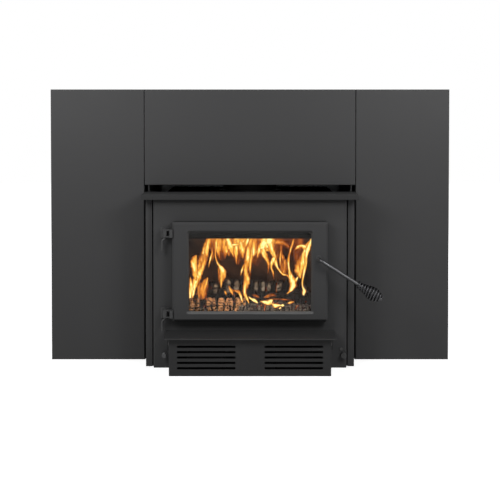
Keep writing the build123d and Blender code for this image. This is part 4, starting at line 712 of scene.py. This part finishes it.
# ---- Flames ----
# Long yellow wood flames stand between the logs and lean right under the tubes. Each is a soft
# hollow tongue of glowing gas, white where it is hottest and orange to clear at its edges.
# A tongue is its depth and then its points from foot to tip, each of which is four numbers: across,
# up, half-width (all in mm) and heat. The coals are such tongues lying down. Apart from the first
# five tongues, the points were read by hand off the photograph, as pixels, and a separate script
# turned them into millimetres.
TONGUES = (
    (128, (-86.1, 263.3, 10, 0.2, -84.1, 291.3, 26, 0.36, -82.1, 321.3, 34, 0.46, -82.1, 363.3, 30, 0.4)),
    (132, (-34, 251.3, 10, 0.2, -34, 285.3, 28, 0.34, -34.1, 321.3, 36, 0.46, -34.1, 363.3, 30, 0.42)),
    (130, (20, 247.3, 10, 0.2, 18, 283.3, 26, 0.32, 18, 321.3, 34, 0.44, 18, 363.3, 30, 0.42)),
    (128, (74.1, 241.3, 10, 0.16, 72.1, 281.3, 28, 0.28, 76.1, 321.3, 38, 0.34, 80.1, 363.3, 32, 0.36)),
    (134, (136.2, 231.3, 8, 0.1, 134.2, 277.3, 24, 0.2, 132.2, 321.3, 34, 0.3, 132.2, 363.3, 28, 0.36)),
    (0, (-171.2, 160, 1.4, 0.8, -168.4, 174.1, 3.1, 0.95, -166.5, 191.1, 5.3, 0.95, -165.6, 208, 6.2, 0.95,
     -166.9, 222.2, 4.5, 0.9, -167.8, 233.5, 1.1, 0.7)),
    (10, (-162.3, 173.9, 1.4, 0.8, -161.1, 183.8, 4.2, 1, -159.9, 198, 7.3, 1, -156, 212.2, 10.7, 1,
     -148.9, 229.2, 10.9, 0.98, -140.4, 246.2, 8.1, 0.95, -132.7, 263.2, 7.3, 0.85, -127, 280.2, 7.6, 0.7,
     -123.6, 300.1, 8.1, 0.62, -119.6, 319.9, 7.6, 0.7, -114.5, 336.9, 6.2, 0.8, -110, 353.8, 2.8, 0.6)),
    (0, (-151.5, 222.2, 1.7, 0.9, -154.3, 236.3, 6.4, 1.05, -155.9, 256.1, 9, 1.1, -157.5, 273, 9.2, 1,
     -155.8, 285.7, 8.1, 0.8, -151.3, 295.6, 3.4, 0.5)),
    (30, (-147.9, 232, 2.8, 0.5, -144.1, 249.1, 7.3, 0.62, -139.8, 266.2, 10.2, 0.62,
     -134.7, 283.4, 11.3, 0.6, -129, 300.5, 10.7, 0.6, -122.7, 320.3, 9.6, 0.6, -116.4, 340.3, 6.8, 0.6,
     -110.7, 357.4, 2.3, 0.5)),
    (20, (-134.7, 165.1, 4.2, 0.4, -134.4, 182.2, 14.1, 0.5, -131.6, 199.3, 14.6, 0.58,
     -127, 214.9, 9.6, 0.62, -120.8, 230.6, 2, 0.6)),
    (5, (-130, 190.3, 1.4, 0.7, -127.5, 203.1, 3.4, 0.8, -123.6, 215.7, 3.4, 0.8, -119, 229.3, 1.7, 0.75)),
    (10, (-117.2, 257.5, 0.8, 0.6, -114.9, 271.7, 2.5, 0.85, -110.9, 285.9, 3.1, 0.95,
     -107.8, 300.1, 1.1, 0.7)),
    (40, (-144.2, 167.5, 2.3, 0.45, -144.2, 181.8, 5.7, 0.55, -146.7, 196.2, 4.3, 0.5,
     -143.3, 210.5, 1.7, 0.4)),
    (50, (-83.1, 194.6, 0.9, 0.5, -81.9, 208.9, 3.7, 0.85, -79.1, 223.3, 7.4, 1, -76.8, 234.8, 9.1, 1.05,
     -78.5, 244.6, 9.4, 1, -85.9, 257, 5.4, 0.9, -93.3, 268.2, 3.1, 0.75, -98.4, 283.7, 2.3, 0.6,
     -99, 298, 2.3, 0.55, -96.7, 312.3, 3.1, 0.6, -95.5, 329.5, 4, 0.65, -95.5, 346.7, 2.3, 0.5)),
    (60, (-87.4, 204.6, 1.1, 0.35, -88.5, 221.8, 3.7, 0.5, -90.2, 239.1, 3.7, 0.5, -92.2, 253.6, 1.4, 0.4)),
    (78, (-108, 265.6, 0.9, 0.35, -107.4, 283, 3.4, 0.42, -109.7, 300.4, 6.3, 0.4, -110.9, 317.8, 6.9, 0.42,
     -108.6, 335.2, 6.3, 0.5, -106.8, 358.3, 2.3, 0.4)),
    (80, (-88.5, 274.1, 0.9, 0.4, -89.6, 287.1, 5.2, 0.5, -91.9, 300.2, 10.3, 0.62, -91.3, 314.7, 12.1, 0.74,
     -90.1, 329.2, 11.5, 0.78, -89.5, 355.2, 5.7, 0.6)),
    (70, (-49, 285.4, 0.9, 0.6, -52.5, 298.4, 5.4, 0.85, -55.9, 310, 9.2, 1, -61.1, 322.7, 10, 1.05,
     -62.8, 336, 8, 1.05, -63.3, 359.1, 4, 0.9)),
    (62, (-39.3, 259.1, 0.9, 0.35, -39.6, 274.9, 3.4, 0.7, -39.9, 290.8, 5.4, 0.92, -40.5, 305.2, 6.9, 1,
     -40.8, 315, 6.6, 1, -39.7, 321.9, 2.9, 0.7)),
    (60, (-55.7, 315.8, 1.1, 0.8, -47.7, 317.8, 4, 1, -38.4, 318.4, 4.3, 1, -30.4, 321, 3.4, 0.95,
     -21.2, 326.7, 2.6, 0.85, -11.5, 332.5, 2.3, 0.8)),
    (84, (-71.8, 273.6, 0.9, 0.35, -72.9, 288.1, 6.9, 0.5, -71.8, 301.1, 12.7, 0.7, -69.5, 314.2, 13.2, 0.78,
     -66.5, 328.7, 13.2, 0.78, -63.6, 354.8, 6.3, 0.6)),
    (82, (-20.2, 275.3, 1.2, 0.4, -22, 288.3, 8.1, 0.62, -22, 301.4, 13.2, 0.8, -19.6, 314.4, 13.8, 0.82,
     -16.2, 326, 13.2, 0.88, -10.4, 352.1, 7.5, 0.8)),
    (74, (-13.8, 308.1, 1.1, 0.8, -11.5, 318.2, 4.6, 0.95, -8.1, 326.9, 5.7, 1, -4.6, 338.4, 4, 0.9)),
    (92, (-47.6, 276.9, 1.2, 0.3, -47.1, 290, 9.2, 0.48, -45.3, 303.1, 14.4, 0.62, -43.6, 316.2, 15, 0.7,
     -40.7, 330.7, 15, 0.62, -37.7, 356.9, 8.1, 0.5)),
    (96, (-61.1, 279.4, 1.2, 0.3, -60.5, 292.4, 9.2, 0.45, -59.3, 306.9, 14.4, 0.55, -58.1, 324.4, 15.6, 0.6,
     -58.1, 356.5, 7.5, 0.5)),
    (96, (-31.9, 279.4, 1.2, 0.3, -31.9, 292.4, 9.8, 0.5, -30.8, 306.9, 14.4, 0.64, -29, 324.4, 15, 0.66,
     -29, 356.5, 7.5, 0.5)),
    (98, (-102.9, 289.3, 1.2, 0.3, -101.7, 303.9, 8.7, 0.42, -100.5, 321.4, 10.4, 0.5,
     -100.6, 353.4, 5.2, 0.45)),
    (-15, (-2.8, 161.2, 0.8, 0.7, -7.3, 172.4, 3.1, 0.95, -13.2, 185.1, 5, 0.85, -15.1, 199.1, 6.7, 0.8,
     -11.2, 213.2, 8.4, 0.78, -8.4, 227.2, 8.9, 0.78, -10.6, 241.3, 8.9, 0.75, -11.2, 255.3, 7.2, 0.72,
     -9, 272.2, 7.8, 0.72, -7.8, 289.1, 8.4, 0.75, -5, 305.9, 8.9, 0.75, -1.1, 322.7, 7.8, 0.7,
     2.8, 339.5, 6.1, 0.65, 5.6, 356.3, 2.8, 0.5)),
    (0, (-26.4, 237.7, 0.8, 0.5, -23.3, 250.5, 2.5, 0.75, -18.8, 262.9, 2.8, 0.8, -12.9, 275.8, 1.7, 0.7)),
    (-45, (-18.3, 163.5, 0.8, 0.7, -22.5, 176, 2.4, 1, -25.8, 188.6, 3.4, 1, -30.8, 198.3, 4.2, 0.8,
     -38.2, 202.2, 3.2, 0.6, -47.1, 203.9, 2.2, 0.5, -56.5, 211.6, 1.2, 0.4)),
    (-20, (-47, 185.9, 0.8, 0.5, -50.9, 194.9, 3.6, 0.75, -56.5, 204.5, 3.3, 0.7, -59.3, 212.5, 1.1, 0.5)),
    (-10, (-65.7, 184.2, 0.8, 0.4, -68.5, 191, 2.5, 0.7, -71.3, 196.6, 1.1, 0.4)),
    (30, (1.4, 232, 1.4, 0.35, 0, 249.1, 4.5, 0.55, 1.7, 269.1, 5.1, 0.6, 2.3, 289.1, 5.7, 0.65,
     4.5, 309, 4.5, 0.6)),
    (75, (-0.6, 263.2, 0.9, 0.5, 0.6, 274.7, 4, 0.68, 2.3, 286.3, 10.3, 0.84, 8.1, 296.2, 13.2, 0.82,
     12.1, 307.7, 9.2, 0.68, 12.7, 323.9, 9.8, 0.6, 12.7, 355.7, 5.7, 0.5)),
    (72, (-2.9, 293.6, 1.1, 0.6, 6.3, 290.1, 5.7, 0.84, 16.1, 293.6, 5.7, 0.88, 23.6, 301.1, 3.4, 0.9)),
    (60, (20.7, 279.5, 0.9, 0.6, 23.5, 292.8, 5.1, 0.9, 29.8, 304.3, 9.1, 1.02, 37.3, 313.5, 13.1, 1.08,
     46.5, 322.7, 18.8, 1.12, 50.5, 333.1, 21.1, 1.1, 50.5, 360.1, 12, 0.9)),
    (66, (35.9, 296, 1.4, 0.7, 44.6, 303, 6.9, 0.86, 56.1, 309, 9.2, 0.98, 64.4, 320.6, 8.6, 0.95,
     67.3, 336.4, 7.4, 0.8, 69, 356.6, 2.9, 0.6)),
    (50, (51.2, 236.3, 0.9, 0.5, 52.6, 252.1, 3.1, 0.75, 52.4, 266.5, 5.1, 0.85, 46.9, 280.8, 7.4, 0.88,
     39.4, 295.1, 8.3, 0.9, 34.9, 308, 8, 0.9)),
    (55, (77.4, 268.7, 0.9, 0.6, 71.1, 283, 4.8, 0.9, 65.4, 296.3, 7.4, 0.9, 60.8, 308.9, 9.7, 1,
     58.8, 323.3, 9.7, 1)),
    (30, (67.6, 223.4, 1.1, 0.35, 65.4, 240.5, 3.7, 0.6, 60.9, 256.5, 3.1, 0.85, 62.3, 270.2, 4.5, 1,
     66.5, 281.1, 4.8, 1, 69.4, 289.6, 1.4, 0.8)),
    (35, (68.9, 283.8, 1.7, 0.9, 72.9, 272.4, 5.4, 1, 76.6, 258.7, 3.7, 0.9, 84.3, 246.7, 3.1, 0.85,
     94, 236.9, 3.4, 0.82, 103.7, 234.7, 3.7, 0.8, 111.1, 229.5, 2.5, 0.8)),
    (70, (96.9, 226.2, 4, 0.3, 96.8, 240.7, 13.7, 0.45, 96.8, 258.1, 14.3, 0.48, 94.5, 275.3, 10.3, 0.45,
     91, 292.7, 5.7, 0.42, 89.8, 312.9, 2.6, 0.35)),
    (40, (86.2, 259.1, 1.1, 0.5, 85.9, 276.3, 2.6, 0.7, 87.3, 293.5, 2.3, 0.6, 89, 307.8, 0.9, 0.4)),
    (80, (118.6, 302, 4.4, 0.25, 98.2, 319, 10.6, 0.38, 83.8, 323.6, 10.6, 0.44, 66.8, 322.7, 7, 0.5)),
    (-10, (103.2, 187.6, 0.8, 0.8, 110.5, 193.8, 3.1, 1, 117.2, 202.8, 7, 1.1, 121.8, 214.1, 10.6, 1.1,
     119.6, 225.4, 9.8, 1.05, 114.8, 236.6, 7, 0.95, 111.1, 250.7, 4.2, 0.85, 108.6, 265.9, 3.3, 0.82,
     108, 282.8, 3.6, 0.8, 110.2, 299.7, 3.3, 0.72, 114.9, 316.5, 3.1, 0.65, 120.5, 333.4, 3.3, 0.62,
     124.9, 353.1, 2, 0.5)),
    (-12, (121.9, 214.2, 2.2, 1, 127.3, 223.5, 4.2, 1.05, 134.3, 235.2, 1.4, 0.95)),
    (0, (152, 181.2, 1.7, 0.9, 150.9, 187.2, 5, 1, 153.2, 195, 5.3, 1, 149.3, 203.5, 2.5, 0.9,
     147.5, 216.5, 2.2, 0.85, 149.2, 233.5, 2.8, 0.9, 153.1, 253.3, 3.6, 1, 156.7, 273, 3.6, 1,
     157.8, 291.3, 4.2, 1.05, 162.1, 309.7, 5.9, 1.05, 167.1, 323.8, 5.6, 1.05, 171, 336.2, 3.4, 0.9,
     172.6, 346.4, 0.8, 0.6)),
    (12, (141.9, 228.9, 2.5, 0.5, 139.6, 244.2, 14, 0.78, 142.4, 260.1, 15.7, 0.8, 145.8, 274.3, 13.5, 0.82,
     150.2, 288.5, 9.6, 0.85, 156, 302.6, 7.9, 0.9, 162.1, 316.8, 7.9, 0.9, 168.3, 331, 4.5, 0.8)),
    (8, (161.4, 306, 2.2, 0.8, 155.7, 315, 6.2, 0.9, 145.6, 320.1, 5.6, 0.85, 135.9, 317.3, 4.5, 0.8,
     127.5, 309.9, 1.4, 0.6)),
    (90, (133.4, 252.4, 4.3, 0.2, 136.4, 275.7, 13, 0.3, 139.2, 298.9, 14.4, 0.32, 145, 322.2, 14.4, 0.35,
     150.7, 345.5, 8.7, 0.35)),
)
COALS = (
    (-62, (-3.9, 188.1, 0.9, 0.8, 3.9, 181.9, 2.5, 1.03, 13.4, 177.5, 4.5, 1.21, 21.2, 170.8, 1.3, 1.03)),
    (-62, (28.4, 175.8, 0.9, 1.03, 39, 173.6, 3.8, 1.21, 50.2, 171.9, 6.1, 1.26, 58, 177, 5.8, 1.26,
     63, 178.5, 1.4, 0.9)),
    (-64, (60.7, 169.4, 1.6, 1.03, 68.5, 164.4, 6.7, 1.26, 78, 165, 5.1, 1.26, 84.7, 165, 2.5, 1.03,
     89.7, 165, 4.8, 1.26, 94.2, 165, 1.3, 1.03)),
    (-65, (79.7, 156.2, 0.9, 0.92, 82.4, 157.8, 2.5, 1.15, 85.2, 160.1, 0.9, 0.92)),
    (-62, (102, 169.7, 0.9, 0.57, 111.5, 172.2, 3.4, 0.9, 121.5, 174.1, 0.9, 0.57)),
    (-10, (5.6, 185.6, 1.4, 0.3, 15.4, 182, 4.5, 0.5, 25.3, 178, 2.2, 0.4)),
    (-10, (39.3, 177.2, 1.7, 0.35, 49.1, 180.3, 5, 0.55, 61.7, 184.8, 4.2, 0.45, 73, 181.4, 2.2, 0.3)),
    (-10, (44.9, 172.5, 0.8, 0.4, 73, 172.9, 2.2, 0.4, 101, 171.3, 2.8, 0.38, 117.9, 169.6, 1.1, 0.3)),
)
TONGUE_LEAST, TONGUE_WIDER, TONGUE_FLAT = 0.0003, 1.30, 0.34
TONGUE_RINGS, TONGUE_SIDES = 14, 20


def tongue(depth, line, seed):
    """A flame along a line of points: a cubic through them, whose slope at each is half the step between
    its neighbours, carries an ellipse, a third as deep as wide. Its width follows the points', frayed
    by two sines, and its middle sways with the height. Its warmth is the line's, drawn into slanting
    filaments by a cosine of the place across and the height, and falls to nothing where the ellipse
    turns edge-on."""
    line = np.reshape(line, (-1, 4)) * (0.001, 0.001, 0.001, 1.0)
    knots = np.vstack([2 * line[0] - line[1], line, 2 * line[-1] - line[-2]])
    spot = np.linspace(0.0, len(line) - 1.0001, TONGUE_RINGS * len(line))
    index = spot.astype(int)
    t = (spot - index)[:, None]
    a, b, c, d = (knots[index + shift] for shift in range(4))
    curve = 0.5 * (2 * b + (c - a) * t + (2 * a - 5 * b + 4 * c - d) * t ** 2
                   + (3 * b - a - 3 * c + d) * t ** 3)
    across_x, up_z, half, heat = curve.T
    fray = 1.0 + 0.10 * np.sin(up_z * 520.0 + 2.1 * seed) + 0.07 * np.sin(up_z * 1130.0 + 0.7 * seed)
    half = np.maximum(half, TONGUE_LEAST) * fray * TONGUE_WIDER
    lean = np.stack([np.gradient(across_x), np.gradient(up_z)])
    lean /= np.hypot(*lean)
    turn = around(TONGUE_SIDES)
    sway = 0.004 * np.sin(up_z * 34.0 + seed)
    ring_x = across_x[:, None] + half[:, None] * np.cos(turn) * lean[1][:, None]
    ring_z = up_z[:, None] - half[:, None] * np.cos(turn) * lean[0][:, None]
    ring_y = depth * 0.001 + sway[:, None] - TONGUE_FLAT * half[:, None] * np.sin(turn)
    rings = np.stack([ring_x, ring_y, ring_z], axis=-1)
    filaments = 1.0 + 0.20 * np.cos(5.2 * np.cos(turn) + 120.0 * up_z[:, None] + seed)
    warmth = heat[:, None] * filaments * (1.0 - np.cos(turn) ** 2) ** 1.5
    return skin(rings), np.append(warmth.ravel(), [0.0, 0.0])


def burning_gas(name, strength):
    """Glowing gas: heat, broken by streaks of noise that run upward, gives its colour from red through
    orange and yellow to near white, and its thinner places are clear."""
    material = bpy.data.materials.new(name)
    material.use_nodes = True
    tree = material.node_tree
    tree.nodes.remove(tree.nodes["Principled BSDF"])
    heat = put(tree, "ShaderNodeAttribute", attribute_name="warmth").outputs["Fac"]
    licks = noise(tree, 75.0, 3.0, 0.5, 1.2, stretch=(1.0, 1.0, 0.30), turn=(0.0, 0.30, 0.0))
    threads = noise(tree, 240.0, 3.0, 0.6, 0.6, stretch=(1.0, 1.0, 0.16), turn=(0.0, 0.24, 0.0))
    uneven = calc(tree, "MULTIPLY", span(tree, licks, 0.55, 1.40, 0.30, 0.70),
                  span(tree, threads, 0.80, 1.20, 0.30, 0.70))
    streaked = calc(tree, "MULTIPLY", heat, uneven)
    colour = ramp(tree, streaked, [(0.0, (0.10, 0.012, 0.003)), (0.22, (0.34, 0.055, 0.008)),
                                   (0.42, (0.76, 0.20, 0.020)), (0.62, (1.0, 0.41, 0.05)),
                                   (0.85, (1.0, 0.63, 0.11)), (1.0, (1.0, 0.88, 0.36))])
    power = span(tree, streaked, strength, strength * 1.6, 0.25, 1.0)
    light = put(tree, "ShaderNodeEmission", {"Color": colour, "Strength": power})
    gap = put(tree, "ShaderNodeBsdfTransparent")
    body = put(tree, "ShaderNodeMapRange", {"Value": streaked, "From Min": 0.02, "From Max": 0.74},
               interpolation_type="SMOOTHSTEP").outputs[0]
    mixed = put(tree, "ShaderNodeMixShader", {0: body, 1: gap.outputs[0], 2: light.outputs[0]})
    tree.links.new(mixed.outputs[0], tree.nodes["Material Output"].inputs["Surface"])
    return material


flame_gas = burning_gas("wood_flame", 0.80)
for name, lines, seeded in (("flames", TONGUES, 1), ("bright_coals", COALS, 0)):
    gas = [tongue(depth, line, number * seeded) for number, (depth, line) in enumerate(lines)]
    add_piece(name, [part for part, _ in gas], flame_gas, "insert", warmth=[warmth for _, warmth in gas])

# The flames light the firebricks and the logs' tops more than their own skins can, so two warm
# lamps hang among them.
for place in ((-0.10, 0.02, 0.27), (0.09, 0.06, 0.28)):
    glow_data = bpy.data.lights.new("flame_glow", "POINT")
    glow_data.energy, glow_data.shadow_soft_size = 0.40, 0.05
    glow_data.color = (1.0, 0.42, 0.12)
    glow = bpy.data.objects.new("flame_glow", glow_data)
    glow.location = place
    glow.visible_camera = glow.visible_transmission = glow.visible_glossy = False
    scene.collection.objects.link(glow)

# ---- Casing's back sheet ----
# One galvanised sheet with its sides folded forward. Four swages, pressed into it before folding,
# keep the broad flat sheet from drumming.
SWAGES = (-0.189, -0.063, 0.063, 0.189)
SWAGE_FOOT, SWAGE_HEAD, SWAGE_DEPTH, SWAGE_WIDTH = 0.075, 0.430, 0.0045, 0.0075
BACK_BEND, LIP_HEAD = 0.0025, 0.492


def pressed_back():
    """A sheet along a path that comes back up one lip, turns a quarter circle, crosses over and goes
    down the other, times a height; its depth is less by that of a swage times the bell of the
    distance to the swage's line over its width, and above the lips' heads its corners are flat.
    Returns its points and faces."""
    low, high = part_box("casing_back")
    ripple = np.linspace(-0.020, 0.020, 21)
    quarter = np.linspace(0.0, math.pi / 2, 6)
    flat = high[0] - BACK_BEND
    crossing = np.concatenate([np.linspace(-flat, flat, 24)[1:-1]] + [at + ripple for at in SWAGES])
    crossing = np.unique(crossing)
    across = np.concatenate([[-high[0]], -flat - BACK_BEND * np.cos(quarter), crossing,
                             flat + BACK_BEND * np.cos(quarter[::-1]), [high[0]]])
    bend = high[1] - BACK_BEND + BACK_BEND * np.sin(quarter)
    depth = np.concatenate([[low[1]], bend, np.full(len(crossing), high[1]), bend[::-1], [low[1]]])
    rise = np.unique(np.concatenate([np.linspace(0.0, high[2], 24), SWAGE_FOOT + ripple, SWAGE_HEAD + ripple,
                                     [LIP_HEAD, LIP_HEAD + 0.0003]]))
    across, rise = np.meshgrid(across, rise, indexing="ij")
    over = np.maximum(np.maximum(SWAGE_FOOT - rise, rise - SWAGE_HEAD), 0.0)
    aside = np.min(np.abs(across[..., None] - np.array(SWAGES)), axis=-1)
    depth = np.where((rise > LIP_HEAD) & (depth[:, None] > low[1]), high[1], depth[:, None])
    depth = depth - SWAGE_DEPTH * np.exp(-(np.hypot(aside, over) / SWAGE_WIDTH) ** 2)
    points = np.stack([across, depth, rise], axis=-1)
    wide, tall = rise.shape
    column = np.arange(wide - 1)[:, None]
    lip = (column == 0) | (column == wide - 2)
    kept = ~(lip & (rise[:-1, :-1] > LIP_HEAD - 0.0001))
    return points.reshape(-1, 3), lattice(wide, tall, columns_closed=False)[kept.ravel()]


back_points, back_faces = pressed_back()
back_sheet = add_piece("back_sheet", [(back_points, back_faces, NO_FANS)], galvanised("pressed_zinc"),
                       "insert")
thicken(back_sheet, "thickness", 0.0015)
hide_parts("casing_back")

# ---- Casing screws ----
# Zinc-plated self-tapping screws with hexagonal washer heads hold the side walls to the folds of
# the back and the top.
WASHER_RADIUS, HEAD_FLAT = 0.0052, 0.0040
BACK_FOLD, TOP_FOLD = 0.3935, 0.4985
UP_THE_BACK, ALONG_THE_TOP = (0.035, 0.145, 0.255, 0.365, 0.470), (0.075, 0.165, 0.255, 0.345)


def turned_screw(place, side):
    """A hexagonal head on its washer, on a wall that faces along x: rings of twelve points, each a
    radius at a height, where the hexagon's radius is its flat's over the cosine of the angle from
    the flat's middle."""
    turn = np.arange(12) * math.pi / 6
    hexagon = HEAD_FLAT / np.cos((turn + math.pi / 6) % (math.pi / 3) - math.pi / 6)
    plain = np.ones(12)
    rings = ((WASHER_RADIUS * plain, 0.0), (WASHER_RADIUS * plain, 0.0007),
             (0.95 * WASHER_RADIUS * plain, 0.0009), (hexagon, 0.0009), (hexagon, 0.0038),
             (0.90 * HEAD_FLAT * plain, 0.0043))
    radius = np.array([ring for ring, _ in rings])
    height = np.array([rise for _, rise in rings])[:, None] * np.ones(12)
    first, second = (np.cos(turn), np.sin(turn)) if side > 0 else (np.sin(turn), np.cos(turn))
    return skin(np.stack([side * height, radius * first, radius * second], axis=-1) + place)


wall_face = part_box("casing_right")[1][0]
screw_places = [(BACK_FOLD, rise) for rise in UP_THE_BACK] + [(back, TOP_FOLD) for back in ALONG_THE_TOP]
screws = [turned_screw(np.array((side * wall_face, back, rise)), side)
          for side in (-1, 1) for back, rise in screw_places]
screw_zinc = plated("screw_zinc", (0.40, 0.40, 0.39), 0.36, 600.0)
casing_screws = add_piece("casing_screws", screws, screw_zinc, "insert")
casing_screws.data.shade_flat()

# ---- Door rope ----
# A round rope braided from glass-fibre yarn, blackened with graphite and bedded in cement in the
# groove of the door's rear face. Shut against the front panel it keeps the smoke in.
ROPE_HALF = (0.2020, 0.12625)
ROPE_CORNER, ROPE_STRANDS, ROPE_PITCH, ROPE_RELIEF, ROPE_SIDES = 0.0080, 4, 0.0105, 0.13, 28


def braid():
    """A tube around a rectangle with rounded corners: an ellipse, whose radius falls between the
    strands, where both cosines of the angle plus and minus the way along are small. Returns its
    points, its faces and how high on a strand each point lies."""
    low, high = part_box("door_gasket")
    straight = np.array(ROPE_HALF) - ROPE_CORNER
    turns = np.linspace(0.0, math.pi / 2, 13)
    corners = [((1, 1), 0.0), ((-1, 1), 0.5), ((-1, -1), 1.0), ((1, -1), 1.5)]
    arcs = [np.stack([sign[0] * straight[0] + ROPE_CORNER * np.cos(turns + start * math.pi),
                      sign[1] * straight[1] + ROPE_CORNER * np.sin(turns + start * math.pi)], axis=-1)
            for sign, start in corners]
    outline = np.concatenate(arcs + [arcs[0][:1]])
    way = np.append(0.0, np.cumsum(np.hypot(*np.diff(outline, axis=0).T)))
    count = int(way[-1] / RING_STEP)
    along = np.linspace(0.0, way[-1], count, endpoint=False)
    middle = np.stack([np.interp(along, way, outline[:, 0]), np.interp(along, way, outline[:, 1])], axis=-1)
    ahead = np.roll(middle, -1, axis=0) - np.roll(middle, 1, axis=0)
    ahead /= np.hypot(*ahead.T)[:, None]
    turn = around(ROPE_SIDES)
    crossings = round(way[-1] / ROPE_PITCH)
    phase = math.pi * crossings * along[:, None] / way[-1]
    strand = np.maximum(np.abs(np.cos(ROPE_STRANDS * turn + phase)),
                        np.abs(np.cos(ROPE_STRANDS * turn - phase)))
    strand = np.clip((strand - 0.7) / 0.3, 0.0, 1.0) ** 0.7
    radius = (1.0 - ROPE_RELIEF * (1.0 - strand)) * (high[1] - low[1]) / 2
    out = radius * np.cos(turn)
    points = np.stack([middle[:, :1] + ahead[:, 1:] * out, (low[1] + high[1]) / 2 + radius * np.sin(turn),
                       (low[2] + high[2]) / 2 + middle[:, 1:] - ahead[:, :1] * out], axis=-1)
    return points.reshape(-1, 3), lattice(count, ROPE_SIDES, rows_closed=True), strand.ravel()


rope, rope_tree = finish("graphite_rope", 0.05, 0.95, specular=0.1)
rope_yarn = noise(rope_tree, 1600.0, 3.0, 0.6)
rope_height = put(rope_tree, "ShaderNodeAttribute", attribute_name="strand").outputs["Fac"]
# Painted shade: the rope is darker low between its strands, and mottled by its yarn.
strand_shade_and_yarn = calc(rope_tree, "MULTIPLY", rope_height, rope_yarn)
feed(rope_tree, "Base Color", ramp(rope_tree, strand_shade_and_yarn,
                                   [(0.10, 0.016), (0.60, (0.085, 0.083, 0.080))]))
bump(rope_tree, rope_yarn, 0.0004)
rope_points, rope_faces, rope_strand = braid()
door_rope = add_piece("door_rope", [(rope_points, rope_faces, NO_FANS)], rope, "door",
                      strand=[rope_strand])
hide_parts("door_gasket")
